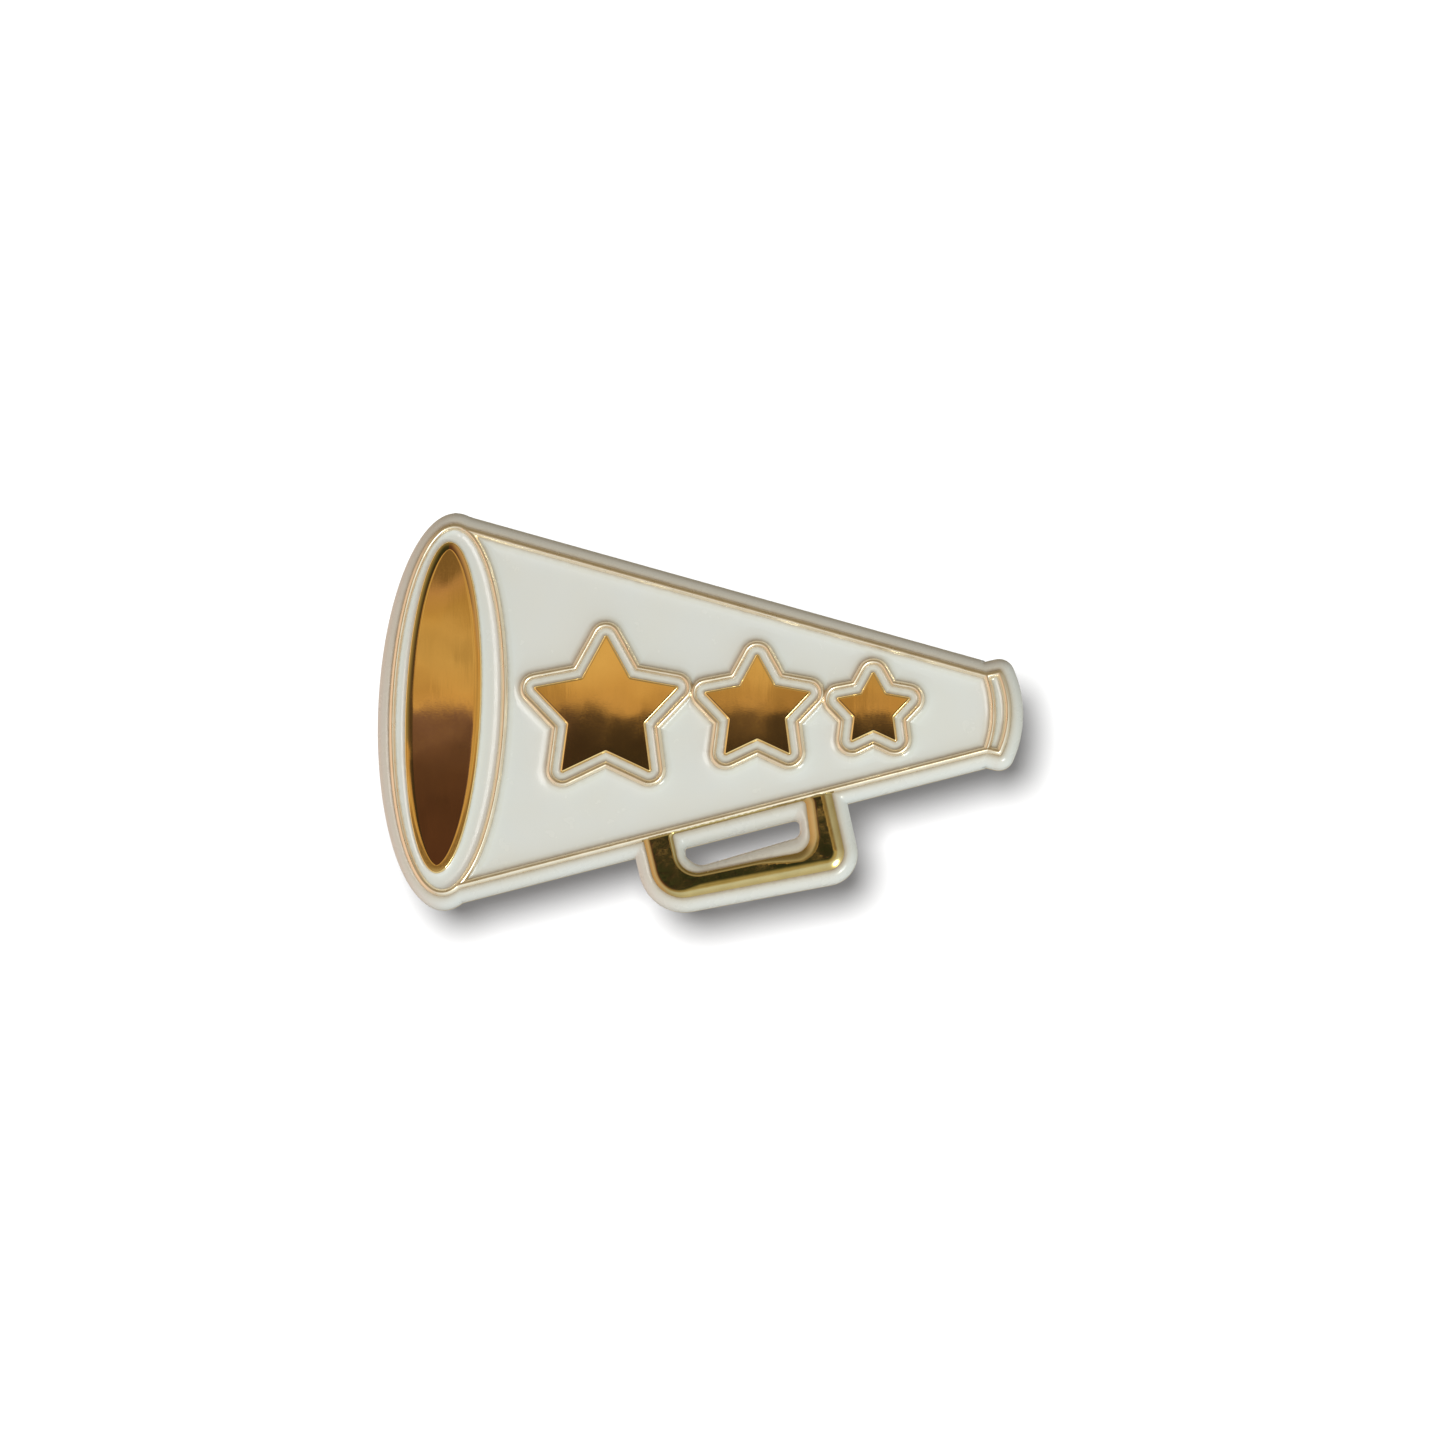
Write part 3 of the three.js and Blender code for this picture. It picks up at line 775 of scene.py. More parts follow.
def build_wing(name, side, flip):
    path = spline(WING, 5)
    tan = np.gradient(path, axis=0)
    tan /= np.linalg.norm(tan, axis=1)[:, None]
    nrm = np.stack([-tan[:, 1], tan[:, 0]], 1)
    u = path[:, 0]
    # half width along the wing, with rounded outer corners
    r, u1, w = 0.95, path[-1, 0] + 0.02, 2.12
    dx = np.clip((u - (u1 - r)) / r, 0, 0.985)
    half = w - r + r * np.sqrt(1 - dx**2)
    nv, t = 17, 0.135
    bm = bmesh.new()
    top, bot = [], []
    for i in range(len(path)):
        rt, rb = [], []
        for k in range(nv):
            v = -half[i] + 2 * half[i] * k / (nv - 1)
            rib = 0.05 * math.exp(-((abs(v) - 1.05) / 0.16) ** 2) * np.clip((u[i] - 2.9) / 0.4, 0, 1) * np.clip((5.0 - u[i]) / 0.4, 0, 1)
            p = path[i] + nrm[i] * (t + rib)
            q = path[i] - nrm[i] * (t - rib)
            rt.append(bm.verts.new((p[0], v, p[1])))
            rb.append(bm.verts.new((q[0], v, q[1])))
        top.append(rt)
        bot.append(rb)
    for i in range(len(path) - 1):
        for k in range(nv - 1):
            bm.faces.new((top[i][k], top[i + 1][k], top[i + 1][k + 1], top[i][k + 1]))
            bm.faces.new((bot[i][k], bot[i][k + 1], bot[i + 1][k + 1], bot[i + 1][k]))
        for k, s in ((0, 1), (nv - 1, -1)):
            bm.faces.new((top[i][k], bot[i][k], bot[i + 1][k], top[i + 1][k])[::s])
    for k in range(nv - 1):
        bm.faces.new((top[0][k], top[0][k + 1], bot[0][k + 1], bot[0][k]))
        bm.faces.new((top[-1][k], bot[-1][k], bot[-1][k + 1], top[-1][k + 1]))
    bmesh.ops.recalc_face_normals(bm, faces=bm.faces)
    edges = [e for e in bm.edges if e.calc_face_angle(0) > math.radians(50)]
    bmesh.ops.bevel(bm, geom=edges, offset=0.06, segments=3, profile=0.5, affect="EDGES", clamp_overlap=True)
    m = turn_uvh(side) @ (Matrix.Rotation(math.pi, 4, "Z") if flip else Matrix.Identity(4))
    ob = link(name, bm, m, 45)
    # the trunnion that turns in the bridge's cheeks, rounded at its ends
    prof = rounded([(0, -2.62, 0), (0.245, -2.62, 0.06), (0.245, 2.62, 0.06), (0, 2.62, 0)], 4)
    pin = lathe_bm([tuple(p) for p in prof], 40)
    place = Matrix.Translation((1.90, 0, 2.30)) @ Matrix.Rotation(math.pi / 2, 4, "X")
    pin_ob = link(name + "_pin", pin, m @ place, 45)
    mod = ob.modifiers.new("join", "BOOLEAN")
    mod.operation, mod.object, mod.solver = "UNION", pin_ob, "EXACT"
    bpy.context.view_layer.update()
    me = bpy.data.meshes.new_from_object(ob.evaluated_get(bpy.context.evaluated_depsgraph_get()))
    ob.modifiers.clear()
    ob.data = me
    bpy.data.objects.remove(pin_ob)
    me.shade_smooth()
    me.set_sharp_from_angle(angle=math.radians(45))
    return ob


def build_post(side):
    x, z = POSTS[side]
    prof = rounded([
        (0, 0.02, 0), (0.95, 0.02, 0.03), (0.95, 0.35, 0.10), (0.55, 0.45, 0.07), (0.55, 4.68, 0.05), (0.42, 4.80, 0.05),
        (0.42, 5.20, 0.05), (0.55, 5.32, 0.05), (0.55, 6.90, 0.9), (0.28, 7.68, 0.3), (0.05, 7.985, 0.03), (0, 8.0, 0),
    ], 6)
    m = Matrix.Scale(MM, 4) @ Matrix(((1, 0, 0, x), (0, 0, 1, 0), (0, -1, 0, z), (0, 0, 0, 1)))
    return link(f"post_turned_{side}", lathe_bm([tuple(p) for p in prof], 72), m, 40)


def build_solder(side):
    x, z = POSTS[side]
    prof = rounded([(0.98, 0.02, 0), (1.58, 0.02, 0.0), (1.52, 0.06, 0.03), (1.28, 0.12, 0.25), (1.05, 0.30, 0.10), (0.98, 0.32, 0.02)], 6)
    prof = thin(prof, 0.06)
    ph = 0.7 if side == "left" else 2.4

    def warp(co):
        a, r = math.atan2(co.y, co.x), math.hypot(co.x, co.y)
        if r > 1.0:
            k = (r - 1.0) / 0.6
            g = 1 + k * (0.02 * math.sin(3 * a + ph) + 0.012 * math.sin(7 * a + 2 * ph) - 0.035)
            co.x *= g
            co.y *= g
            co.z += (0.012 * math.sin(5 * a + ph) + 0.008 * math.sin(9 * a + 3 * ph)) * max(0, min(1, (co.z - 0.03) / 0.1)) * 0.8

    m = Matrix.Scale(MM, 4) @ Matrix(((1, 0, 0, x), (0, 0, 1, 0), (0, -1, 0, z), (0, 0, 0, 1)))
    return link(f"solder_fillet_{side}", lathe_bm(prof, 96, warp), m, 50)


# ---------------------------------------------------------------- materials
class Mat:
    def __init__(self, name):
        self.m = bpy.data.materials.new(name)
        self.m.use_nodes = True
        self.t = self.m.node_tree
        self.p = next(n for n in self.t.nodes if n.type == "BSDF_PRINCIPLED")
        self.co = self.node("ShaderNodeTexCoord").outputs["Object"]

    def node(self, kind, **vals):
        n = self.t.nodes.new(kind)
        for k, v in vals.items():
            setattr(n, k, v)
        return n

    def link(self, a, b):
        self.t.links.new(a, b)

    def mapped(self, scale, rot=(0, 0, 0)):
        n = self.node("ShaderNodeMapping")
        n.inputs["Scale"].default_value = scale
        n.inputs["Rotation"].default_value = rot
        self.link(self.co, n.inputs["Vector"])
        return n.outputs["Vector"]

    def noise(self, per_mm, detail=3.0, rough=0.5, stretch=(1, 1, 1), rot=(0, 0, 0), distort=0.0):
        n = self.node("ShaderNodeTexNoise")
        n.inputs["Scale"].default_value = 1.0
        n.inputs["Detail"].default_value = detail
        n.inputs["Roughness"].default_value = rough
        n.inputs["Distortion"].default_value = distort
        k = per_mm * 1000
        self.link(self.mapped((k * stretch[0], k * stretch[1], k * stretch[2]), rot), n.inputs["Vector"])
        return n.outputs["Fac"]

    def ramp(self, fac, stops):
        n = self.node("ShaderNodeValToRGB")
        e = n.color_ramp.elements
        while len(e) < len(stops):
            e.new(0.5)
        for el, (pos, col) in zip(e, stops):
            el.position = pos
            el.color = (*col, 1) if len(col) == 3 else col
        self.link(fac, n.inputs["Fac"])
        return n.outputs["Color"]

    def remap(self, fac, a, b, c, d):
        n = self.node("ShaderNodeMapRange")
        for k, v in zip(("From Min", "From Max", "To Min", "To Max"), (a, b, c, d)):
            n.inputs[k].default_value = v
        self.link(fac, n.inputs["Value"])
        return n.outputs["Result"]

    def math(self, op, a, b):
        n = self.node("ShaderNodeMath", operation=op)
        for i, x in enumerate((a, b)):
            if isinstance(x, (int, float)):
                n.inputs[i].default_value = x
            else:
                self.link(x, n.inputs[i])
        return n.outputs["Value"]

    def bump(self, height, strength, distance_mm, under=None):
        n = self.node("ShaderNodeBump")
        n.inputs["Strength"].default_value = strength
        n.inputs["Distance"].default_value = distance_mm * MM
        self.link(height, n.inputs["Height"])
        if under is not None:
            self.link(under, n.inputs["Normal"])
        return n.outputs["Normal"]


def gold_material():
    """Mirror faces: nearly flat, with a slow waviness, drag marks and specks."""
    k = Mat("polished gold plate")
    p = k.p
    p.inputs["Metallic"].default_value = 1.0
    tint = k.noise(0.5, 2.0)
    k.link(k.ramp(tint, [(0.30, (0.96, 0.71, 0.32)), (0.70, (1.0, 0.75, 0.36))]), p.inputs["Base Color"])
    haze = k.noise(0.8, 4.0, 0.6)
    fine = k.noise(9.0, 3.0, 0.6)
    rough = k.math("ADD", k.remap(haze, 0.35, 0.75, 0.012, 0.032), k.remap(fine, 0.45, 0.75, 0.0, 0.012))
    k.link(rough, p.inputs["Roughness"])
    waves = k.noise(0.32, 1.5, 0.4, (1.2, 1.0, 0.8))
    n = k.bump(waves, 0.30, 0.016)
    drag = k.noise(1.0, 3.0, 0.55, (2.6, 2.6, 0.35))
    n = k.bump(drag, 0.28, 0.0014, n)
    pits = k.noise(16.0, 2.0, 0.5)
    n = k.bump(pits, 0.25, 0.00015, n)
    k.link(n, p.inputs["Normal"])
    return k.m


def handle_gold_material():
    """The handle's face: the same plating, rubbed and uneven, and softer still over its edges; its colour is a darker,
    more olive copy of the gold, painted shade, painted darker still over its edges.
    """
    k = Mat("rubbed gold handle, painted darker")
    p = k.p
    p.inputs["Metallic"].default_value = 1.0
    att = k.node("ShaderNodeAttribute", attribute_name="from_metal")
    mix = k.node("ShaderNodeMix", data_type="RGBA", blend_type="MULTIPLY")
    mix.inputs[0].default_value = 1.0
    # painted shade: a darker, more olive copy of the plating's colour
    k.link(k.ramp(k.noise(0.6, 3.0), [(0.30, (0.72, 0.64, 0.35)), (0.70, (0.84, 0.74, 0.42))]), mix.inputs[6])
    # painted shade: darker towards the handle's rounded edges
    k.link(k.ramp(att.outputs["Fac"], [(0.0, (1, 1, 1)), (0.25, (0.94, 0.90, 0.84)), (0.85, (0.66, 0.55, 0.40))]), mix.inputs[7])
    k.link(mix.outputs[2], p.inputs["Base Color"])
    haze = k.remap(k.noise(0.75, 4.0, 0.6), 0.42, 0.66, 0.02, 0.13)
    k.link(k.math("ADD", haze, k.remap(att.outputs["Fac"], 0.0, 0.8, 0.0, 0.15)), p.inputs["Roughness"])
    n = k.bump(k.noise(0.75, 2.5, 0.5), 0.5, 0.030)
    n = k.bump(k.noise(2.4, 3.0, 0.55), 0.35, 0.006, n)
    n = k.bump(k.noise(16.0, 2.0, 0.5), 0.25, 0.0004, n)
    k.link(n, p.inputs["Normal"])
    return k.m


def gold_line_material():
    """Raised lines: the same plating, rubbed softer along their rounded tops, with a paler, less yellow colour than
    the mirror faces: a lighter copy of the plating, painted sheen.
    """
    k = Mat("rubbed gold lines, painted paler")
    p = k.p
    p.inputs["Metallic"].default_value = 1.0
    # painted sheen: paler and less yellow than the face gold
    k.link(k.ramp(k.noise(1.1, 3.0), [(0.30, (0.93, 0.81, 0.62)), (0.70, (0.97, 0.86, 0.69))]), p.inputs["Base Color"])
    k.link(k.remap(k.noise(2.2, 4.0, 0.6), 0.3, 0.7, 0.25, 0.38), p.inputs["Roughness"])
    n = k.bump(k.noise(3.0, 3.0, 0.6), 0.35, 0.010)
    n = k.bump(k.noise(18.0, 2.0, 0.5), 0.3, 0.0015, n)
    k.link(n, p.inputs["Normal"])
    return k.m


def gold_back_material():
    """The back of the plate: same plating over a blasted, finely stippled die face."""
    k = Mat("stippled gold back")
    p = k.p
    p.inputs["Metallic"].default_value = 1.0
    tint = k.noise(0.6, 3.0)
    k.link(k.ramp(tint, [(0.30, (0.90, 0.65, 0.30)), (0.70, (0.99, 0.74, 0.38))]), p.inputs["Base Color"])
    k.link(k.remap(k.noise(1.2, 4.0, 0.6), 0.3, 0.7, 0.26, 0.40), p.inputs["Roughness"])
    v = k.node("ShaderNodeTexVoronoi")
    v.inputs["Scale"].default_value = 1.0
    k.link(k.mapped((5200, 5200, 5200)), v.inputs["Vector"])
    n = k.bump(v.outputs["Distance"], 0.55, 0.035)
    n = k.bump(k.noise(22.0, 2.0), 0.4, 0.004, n)
    k.link(n, p.inputs["Normal"])
    return k.m


def enamel_material(name="white enamel", base=(0.755, 0.806, 0.834), rough=0.20, reach=1.0):
    k = Mat(name)
    p = k.p
    warm = tuple(c * f for c, f in zip(base, (1.0, 0.985, 0.955)))
    mott = k.noise(0.35, 3.0, 0.5)
    body = k.ramp(mott, [(0.32, base), (0.72, warm)])
    # painted shade: the fill is painted darker and browner near each metal line, standing in for the shade in the
    # meniscus and the gold's warm reflection in it
    att = k.node("ShaderNodeAttribute", attribute_name="from_metal")
    ragged = k.math("ADD", att.outputs["Fac"], k.remap(k.noise(3.0, 3.0), 0.3, 0.7, -0.015, 0.02))
    # the painted shade ramp: dark brown at the metal line, fading to white by 0.36 x reach mm from it
    thin = k.ramp(ragged, [(0.0, (0.54, 0.43, 0.32)), (0.055 * reach, (0.74, 0.66, 0.56)), (0.18 * reach, (0.93, 0.91, 0.87)), (0.36 * reach, (1, 1, 1))])
    mix = k.node("ShaderNodeMix", data_type="RGBA", blend_type="MULTIPLY")
    mix.inputs[0].default_value = 1.0
    k.link(body, mix.inputs[6])
    k.link(thin, mix.inputs[7])
    k.link(mix.outputs[2], p.inputs["Base Color"])
    k.link(k.remap(k.noise(1.4, 3.0, 0.5), 0.3, 0.7, rough - 0.05, rough + 0.08), p.inputs["Roughness"])
    p.inputs["IOR"].default_value = 1.50
    p.inputs["Coat Weight"].default_value = 0.35
    p.inputs["Coat Roughness"].default_value = 0.08
    peel = k.noise(1.6, 2.0, 0.4)
    n = k.bump(peel, 0.22, 0.012)
    n = k.bump(k.noise(14.0, 2.0), 0.12, 0.0015, n)
    k.link(n, p.inputs["Normal"])
    return k.m


def metal_material(name, lo, hi, r0, r1, brush=(1, 1, 1), amount=0.004):
    k = Mat(name)
    p = k.p
    p.inputs["Metallic"].default_value = 1.0
    k.link(k.ramp(k.noise(0.8, 3.0), [(0.3, lo), (0.7, hi)]), p.inputs["Base Color"])
    haze = k.remap(k.noise(1.1, 4.0, 0.6), 0.3, 0.7, r0, r1)
    k.link(haze, p.inputs["Roughness"])
    n = k.bump(k.noise(7.0, 4.0, 0.6, brush), 0.5, amount)
    n = k.bump(k.noise(0.7, 2.0), 0.25, 0.03, n)
    k.link(n, p.inputs["Normal"])
    return k.m


# ------------------------------------------------------------------- build
def wear(ob, mat):
    ob.data.materials.clear()
    ob.data.materials.append(mat)


GOLD = gold_material()
GOLD_BACK = gold_back_material()
GOLD_LINE = gold_line_material()
HANDLE_GOLD = handle_gold_material()
WHITE = enamel_material()
# the ring's copy of the white enamel paints its shade near the metal over a narrower reach
RING_WHITE = enamel_material("white enamel ring", reach=0.42)
# painted shade: the outer border and the slot border wear a darker copy of the same white enamel
EDGE_WHITE_SHADED = enamel_material("white enamel edge, painted darker", (0.648, 0.661, 0.654), 0.26)
BRASS = metal_material("clutch plating", (0.88, 0.64, 0.31), (0.97, 0.73, 0.40), 0.16, 0.30, (1, 1, 1), 0.003)
TURNED = metal_material("turned post", (0.88, 0.66, 0.34), (0.95, 0.74, 0.42), 0.14, 0.26, (0.4, 6, 0.4), 0.003)
STEEL = metal_material("spring steel", (0.46, 0.45, 0.43), (0.60, 0.59, 0.57), 0.22, 0.36, (6, 0.5, 0.5), 0.004)
TIN = metal_material("solder", (0.50, 0.50, 0.48), (0.66, 0.66, 0.64), 0.24, 0.42, (1, 1, 1), 0.010)

plate = build_gold()
wear(plate, GOLD)
plate.data.materials.append(GOLD_BACK)
plate.data.materials.append(GOLD_LINE)
plate.data.materials.append(HANDLE_GOLD)


def sort_faces():
    """Back of the plate, raised lines and handle get their own material; the lines' is a paler copy of the plating
    (painted sheen) and the handle's a darker one (painted shade).
    """
    me = plate.data
    n = len(me.polygons)
    c, nrm = np.empty(n * 3), np.empty(n * 3)
    me.polygons.foreach_get("center", c)
    me.polygons.foreach_get("normal", nrm)
    c, nrm = c.reshape(-1, 3) / MM, nrm.reshape(-1, 3)
    idx = np.zeros(n, int)
    flat = np.stack([c[:, 0], c[:, 2]], 1)
    line = (ridge_field.dist(flat) < 0.20) & (c[:, 1] < -1.0)
    handle = (inside(H_OUT, flat) | (hout_field.dist(flat) < 0.11)) & (flat[:, 1] < line_y(BOTTOM_RIDGE, flat[:, 0]) - 0.10)
    idx[line & ~handle] = 2
    idx[handle & (c[:, 1] < -0.9)] = 3
    idx[nrm[:, 1] > 0.9] = 1
    me.polygons.foreach_set("material_index", idx.astype(np.int32))


sort_faces()
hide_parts("base_plate")
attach(plate, "pin")

for ob, node, mat in (
    (build_body(), "enamel_body_panel", WHITE),
    (build_mouth_ring(), "enamel_mouth_ring", RING_WHITE),
    (build_rim_band(), "enamel_mouthpiece_band", WHITE),
    (build_border(), "enamel_outer_border", EDGE_WHITE_SHADED),
    (build_slot_border(), "enamel_slot_border", EDGE_WHITE_SHADED),
    *((build_star_band(i), f"enamel_star_outline_{i + 1}", WHITE) for i in range(len(STARS))),
):
    wear(ob, mat)
    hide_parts(node)
    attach(ob, "pin")

for side in ("left", "right"):
    for ob, node, mat, slot, body in (
        (build_post(side), f"post_{side}", TURNED, "post_brass", "pin"),
        (build_solder(side), f"solder_{side}", TIN, "solder", "pin"),
        (build_cap(side), f"clutch_cap_{side}", BRASS, "clutch_brass", f"clutch_{side}"),
        (from_cad(f"clutch_bridge_{side}", f"bridge_folded_{side}", 0.06), f"clutch_bridge_{side}", BRASS, "clutch_brass", f"clutch_{side}"),
        (from_cad(f"clutch_spring_{side}", f"spring_leaf_{side}", 0.03), f"clutch_spring_{side}", STEEL, "spring_steel", f"clutch_{side}"),
    ):
        wear(ob, mat)
        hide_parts(node)
        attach(ob, body)
for node, side, flip in (
    ("wing_left_lower", "left", False), ("wing_left_upper", "left", True),
    ("wing_right_outer", "right", False), ("wing_right_inner", "right", True),
):
    ob = build_wing(node + "_plate", side, flip)
    wear(ob, BRASS)
    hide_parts(node)
    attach(ob, node)

# ------------------------------------------------------- backdrop and floor
def build_stage():
    """A pale sheet: a wall close behind the pin that sweeps forward into a floor well below it."""
    prof = [(0.0125, 0.090)]
    prof += [(0.0125, -0.045)]
    for k in range(1, 13):
        a = math.pi / 2 * k / 12
        prof.append((0.0125 - 0.03 * (1 - math.cos(a)), -0.045 - 0.03 * math.sin(a)))
    prof.append((-0.16, -0.075))
    verts, faces = [], []
    for y, z in prof:
        verts += [(-0.12, y, z), (0.12, y, z)]
    for i in range(len(prof) - 1):
        faces.append((2 * i, 2 * i + 2, 2 * i + 3, 2 * i + 1))
    me = bpy.data.meshes.new("backdrop_sheet")
    me.from_pydata(verts, [], faces)
    me.shade_smooth()
    ob = bpy.data.objects.new("backdrop_sheet", me)
    bpy.context.scene.collection.objects.link(ob)
    if me.polygons[0].normal.y > 0:
        me.flip_normals()
    m = bpy.data.materials.new("pale sheet")
    m.use_nodes = True
    t = m.node_tree
    t.nodes.clear()
    out = t.nodes.new("ShaderNodeOutputMaterial")
    mix = t.nodes.new("ShaderNodeMixShader")
    both_ = t.nodes.new("ShaderNodeAddShader")
    dif = t.nodes.new("ShaderNodeBsdfDiffuse")
    dif.inputs["Color"].default_value = (0.12, 0.12, 0.12, 1)
    glow = t.nodes.new("ShaderNodeEmission")
    glow.inputs["Color"].default_value = (0.15, 0.152, 0.157, 1)
    clear = t.nodes.new("ShaderNodeBsdfTransparent")
    geo = t.nodes.new("ShaderNodeNewGeometry")
    t.links.new(dif.outputs[0], both_.inputs[0])
    t.links.new(glow.outputs[0], both_.inputs[1])
    t.links.new(geo.outputs["Backfacing"], mix.inputs[0])
    t.links.new(both_.outputs[0], mix.inputs[1])
    t.links.new(clear.outputs[0], mix.inputs[2])
    t.links.new(mix.outputs[0], out.inputs[0])
    me.materials.append(m)
    ob.visible_shadow = False
    ob.visible_glossy = False
    ob.visible_diffuse = False
    ob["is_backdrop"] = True
    return ob


sheet = build_stage()


def toward(az, el):
    """Unit vector from the pin towards azimuth az, elevation el."""
    a, e = math.radians(az), math.radians(el)
    return Vector((math.sin(a) * math.cos(e), -math.cos(a) * math.cos(e), math.sin(e)))


# ------------------------------------------------------------------ camera
CAM_AZ, CAM_EL, DIST = 2.0, -7.0, 0.26
FRAME_WIDTH = 71.40 * MM                   # what the picture spans at the pin
cam_data = bpy.data.cameras.new("camera")
cam = bpy.data.objects.new("camera", cam_data)
bpy.context.scene.collection.objects.link(cam)
bpy.context.scene.camera = cam
cam_data.sensor_width = 36
cam_data.lens = 36 * DIST / FRAME_WIDTH
cam_data.clip_start, cam_data.clip_end = 0.01, 10
look = Vector((1.139, -0.8, -0.475)) * MM
back = toward(CAM_AZ, CAM_EL)
cam.location = look + back * DIST
cam.rotation_mode = "QUATERNION"
cam.rotation_quaternion = back.to_track_quat("Z", "Y")
right = Vector((math.cos(math.radians(CAM_AZ)), math.sin(math.radians(CAM_AZ)), 0))
above = back.cross(right)

# ------------------------------------------------------------------- light
world_ = bpy.data.worlds.new("studio")
bpy.context.scene.world = world_
world_.use_nodes = True
wt = world_.node_tree
wt.nodes.clear()


def wn(kind, **vals):
    n = wt.nodes.new(kind)
    for k, v in vals.items():
        setattr(n, k, v)
    return n


def wmath(op, a, b=None, clamp=False):
    n = wn("ShaderNodeMath", operation=op, use_clamp=clamp)
    for i, x in enumerate((a, b)):
        if x is None:
            continue
        if isinstance(x, (int, float)):
            n.inputs[i].default_value = x
        else:
            wt.links.new(x, n.inputs[i])
    return n.outputs[0]


def wdot(vec, const_vec):
    n = wn("ShaderNodeVectorMath", operation="DOT_PRODUCT")
    wt.links.new(vec, n.inputs[0])
    n.inputs[1].default_value = const_vec
    return n.outputs["Value"]


def wstep(value, lo, hi, kind="SMOOTHSTEP"):
    n = wn("ShaderNodeMapRange", interpolation_type=kind)
    n.inputs["From Min"].default_value = lo
    n.inputs["From Max"].default_value = hi
    wt.links.new(value, n.inputs["Value"])
    return n.outputs["Result"]


def wmix(fac, a, b, blend="MIX"):
    n = wn("ShaderNodeMix", data_type="RGBA", blend_type=blend)
    if isinstance(fac, (int, float)):
        n.inputs[0].default_value = fac
    else:
        wt.links.new(fac, n.inputs[0])
    for i, x in ((6, a), (7, b)):
        if isinstance(x, tuple):
            n.inputs[i].default_value = (*x, 1)
        else:
            wt.links.new(x, n.inputs[i])
    return n.outputs[2]


def wnoise(vec, scale, detail):
    n = wn("ShaderNodeTexNoise")
    n.inputs["Scale"].default_value = scale
    n.inputs["Detail"].default_value = detail
    wt.links.new(vec, n.inputs["Vector"])
    return n.outputs["Fac"]


def wramp(fac, stops):
    n = wn("ShaderNodeValToRGB")
    e = n.color_ramp.elements
    while len(e) < len(stops):
        e.new(0.5)
    for el, (pos, col) in zip(e, stops):
        el.position = pos
        el.color = (*col, 1)
    wt.links.new(fac, n.inputs["Fac"])
    return n.outputs["Color"]


wco = wn("ShaderNodeTexCoord").outputs["Generated"]
sep = wn("ShaderNodeSeparateXYZ")
wt.links.new(wco, sep.inputs[0])
front = wdot(wco, toward(0, 4))                 # 1 straight in front of the face
lit = wdot(wco, toward(52, -46))                # towards the lower right
blotch = wnoise(wco, 60.0, 4.0)
wobble = wmath("MULTIPLY", wmath("SUBTRACT", wnoise(wco, 35.0, 3.0), 0.5), 0.0022)
up = wmath("ADD", sep.outputs["Z"], wobble)

# a dim warm tent, pinker on the left, with a broad white opening at the lower right
tent = wmix(wstep(wmath("MULTIPLY", sep.outputs["X"], -1.0), 0.1, 0.9), (0.44, 0.42, 0.35), (0.92, 0.70, 0.55))
tent = wmix(wstep(sep.outputs["Z"], 0.25, 0.85), tent, (0.25, 0.20, 0.12))
tent = wmix(wstep(lit, 0.15, 0.95), tent, (0.84, 0.91, 0.94))
# what the mirror faces see in front: an amber wall over a dark table
H0, H1 = 0.085, 0.165


def at(z_mm):
    return ((z_mm + 32.16) / 259.6 - H0) / (H1 - H0)


height = wstep(up, H0, H1, "LINEAR")
wall = wramp(height, [
    (at(-0.1), (0.49, 0.305, 0.132)), (at(0.8), (0.45, 0.285, 0.115)), (at(2.6), (0.52, 0.365, 0.165)),
    (at(3.9), (0.50, 0.345, 0.155)), (at(5.1), (0.38, 0.245, 0.085)), (at(6.0), (0.45, 0.275, 0.150)), (at(7.0), (0.34, 0.235, 0.110)),
    (at(8.6), (0.34, 0.24, 0.12)),
])
wall = wmix(wstep(blotch, 0.36, 0.66), wmix(1.0, wall, (0.82, 0.80, 0.72), "MULTIPLY"), wmix(1.0, wall, (1.30, 1.30, 1.26), "MULTIPLY"))
table_l = wramp(height, [(at(-8.5), (0.100, 0.044, 0.028)), (at(-3.3), (0.078, 0.040, 0.027)), (at(-1.4), (0.110, 0.060, 0.045)), (at(-0.2), (0.150, 0.088, 0.075))])
table_r = wramp(height, [(at(-8.5), (0.040, 0.040, 0.018)), (at(-4.0), (0.050, 0.036, 0.020)), (at(-1.5), (0.060, 0.040, 0.024)), (at(-0.2), (0.110, 0.072, 0.040))])
table = wmix(wstep(sep.outputs["X"], -0.080, -0.055), table_l, table_r)
table = wmix(wstep(blotch, 0.38, 0.64), wmix(1.0, table, (0.72, 0.74, 0.78), "MULTIPLY"), wmix(1.0, table, (1.30, 1.28, 1.25), "MULTIPLY"))
# the table is only a strip: beyond its near and right edges it is bright again
smudge = wmath("MULTIPLY", wstep(up, 0.1445, 0.1500), wstep(wnoise(wco, 120.0, 5.0), 0.42, 0.60))
wall = wmix(smudge, wall, wmix(1.0, wall, (0.42, 0.38, 0.34), "MULTIPLY"))
near_edge = wmix(wstep(sep.outputs["X"], -0.1, 0.25), (0.40, 0.30, 0.13), (0.60, 0.50, 0.25))
table = wmix(wstep(up, -0.34, 0.045), near_edge, table)
table = wmix(wstep(sep.outputs["X"], 0.03, 0.34), table, (0.56, 0.45, 0.22))
table = wmix(wstep(wmath("MULTIPLY", sep.outputs["X"], -1.0), 0.12, 0.36), table, (0.50, 0.35, 0.21))
room = wmix(wstep(up, 0.1229, 0.1242), table, wall)
room = wmix(wstep(up, 0.19, 0.42), room, (0.46, 0.38, 0.25))
colour = wmix(wstep(front, math.cos(math.radians(36)), math.cos(math.radians(22))), tent, room)
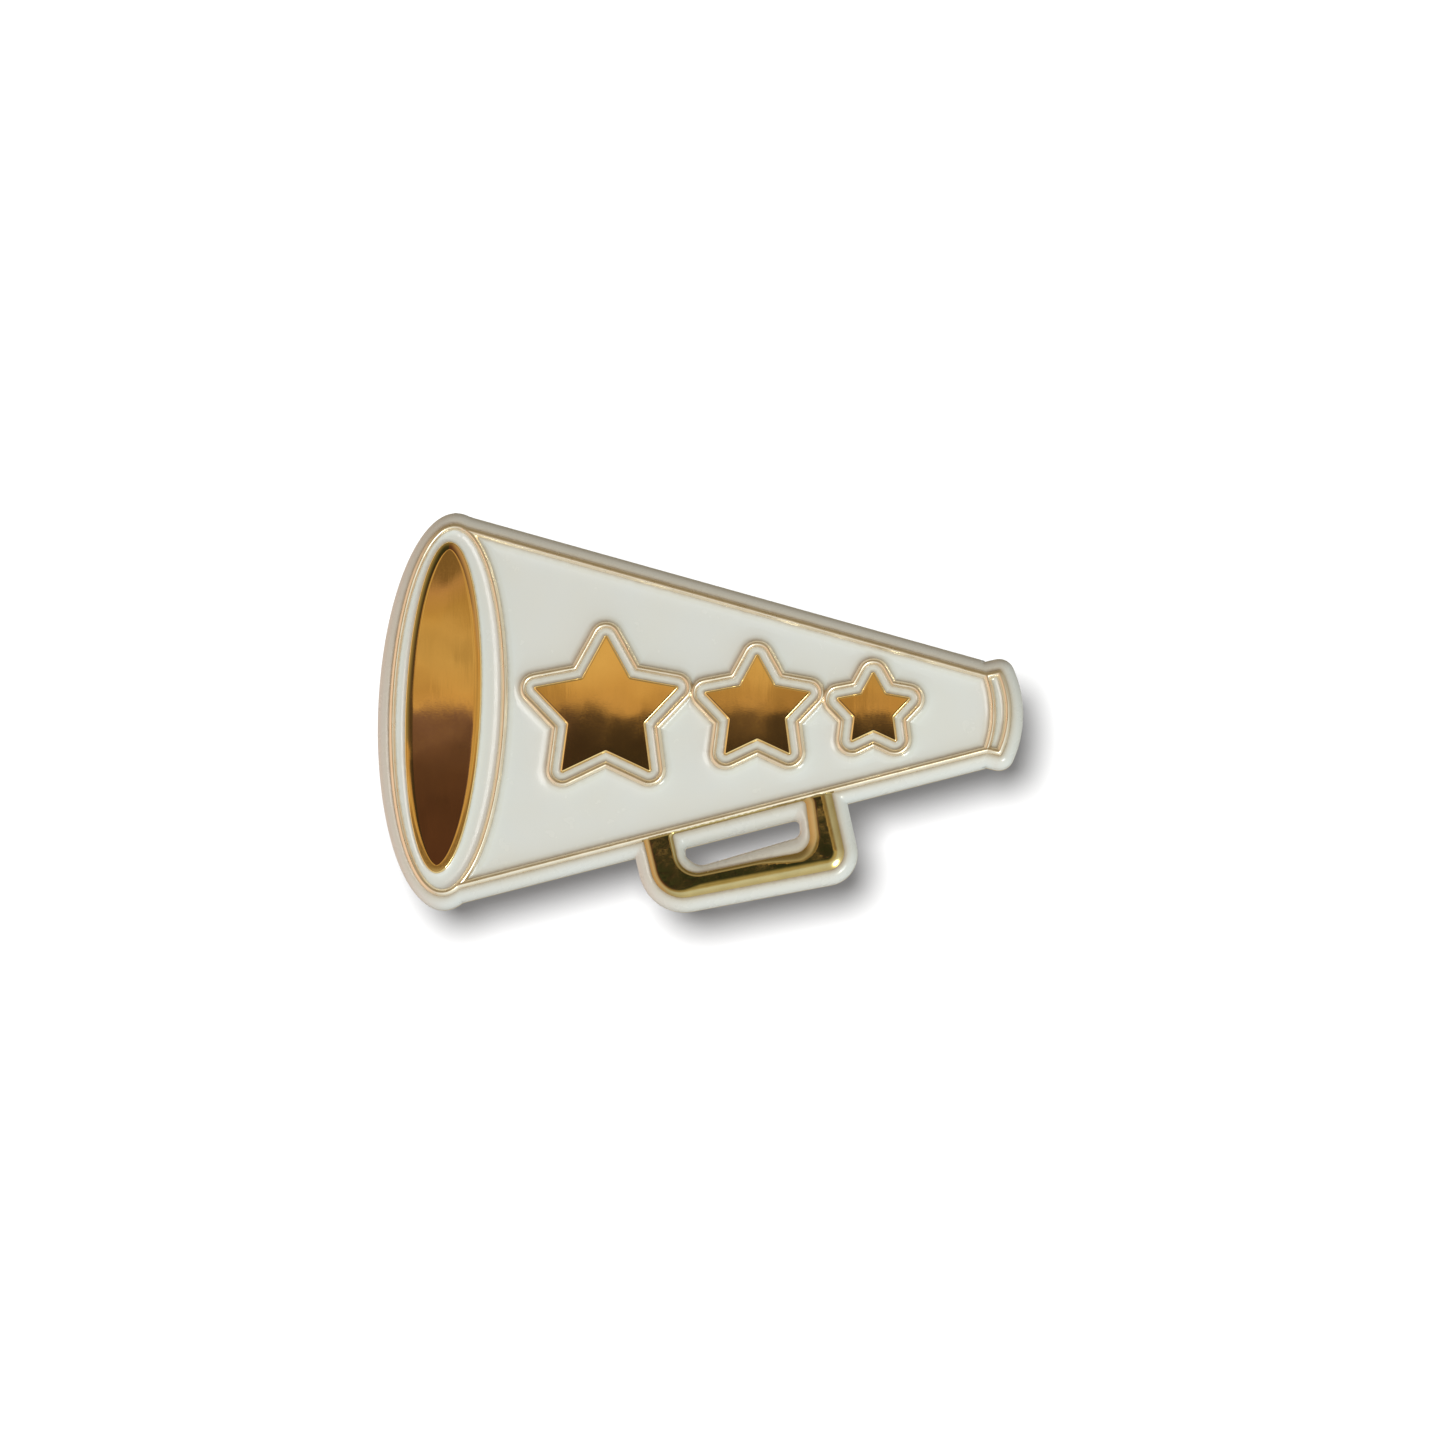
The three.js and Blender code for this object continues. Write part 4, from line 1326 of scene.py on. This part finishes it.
bg = wn("ShaderNodeBackground")
wt.links.new(colour, bg.inputs["Color"])
white = wn("ShaderNodeBackground")
white.inputs["Color"].default_value = (1, 1, 1, 1)
path = wn("ShaderNodeLightPath")
wmixs = wn("ShaderNodeMixShader")
wout = wn("ShaderNodeOutputWorld")
wt.links.new(path.outputs["Is Camera Ray"], wmixs.inputs[0])
wt.links.new(bg.outputs[0], wmixs.inputs[1])
wt.links.new(white.outputs[0], wmixs.inputs[2])
wt.links.new(wmixs.outputs[0], wout.inputs[0])


def lamp(name, where, aim, energy, size, colour=(1, 1, 1), shape="DISK", size_y=None):
    data = bpy.data.lights.new(name, "AREA")
    data.energy = energy
    data.color = colour
    data.shape = shape
    data.size = size
    if size_y:
        data.size_y = size_y
    ob = bpy.data.objects.new(name, data)
    ob.location = where
    ob.rotation_mode = "QUATERNION"
    ob.rotation_quaternion = (Vector(where) - Vector(aim)).to_track_quat("Z", "Y")
    bpy.context.scene.collection.objects.link(ob)
    return ob


O = Vector((0, 0, 0))
key = lamp("key_lower_right", toward(40, -30) * 0.11, O, 0.0235, 0.034, (0.82, 0.94, 1.0))
fill = lamp("fill_left", toward(-30, 0) * 0.11, O, 0.020, 0.045, (1.0, 0.98, 0.97))
glint = lamp("glint", toward(38, -36) * 0.11, O, 0.019, 0.008, (1.0, 0.95, 0.66))
drop = lamp("sheet_light", cam.location + right * -0.019 + above * 0.024, look, 6.1, 0.052)

only_sheet = bpy.data.collections.new("lit by the sheet light")
only_sheet.objects.link(sheet)
drop.light_linking.receiver_collection = only_sheet
not_sheet = bpy.data.collections.new("lit by the pin lights")
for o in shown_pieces():
    not_sheet.objects.link(o)
key.light_linking.receiver_collection = not_sheet
glint.light_linking.receiver_collection = not_sheet
only_white = bpy.data.collections.new("lit by the fill")
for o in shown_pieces():
    if o.data.materials and o.data.materials[0] in (WHITE, RING_WHITE, EDGE_WHITE_SHADED):
        only_white.objects.link(o)
fill.light_linking.receiver_collection = only_white

bpy.context.scene.view_settings.view_transform = "Standard"
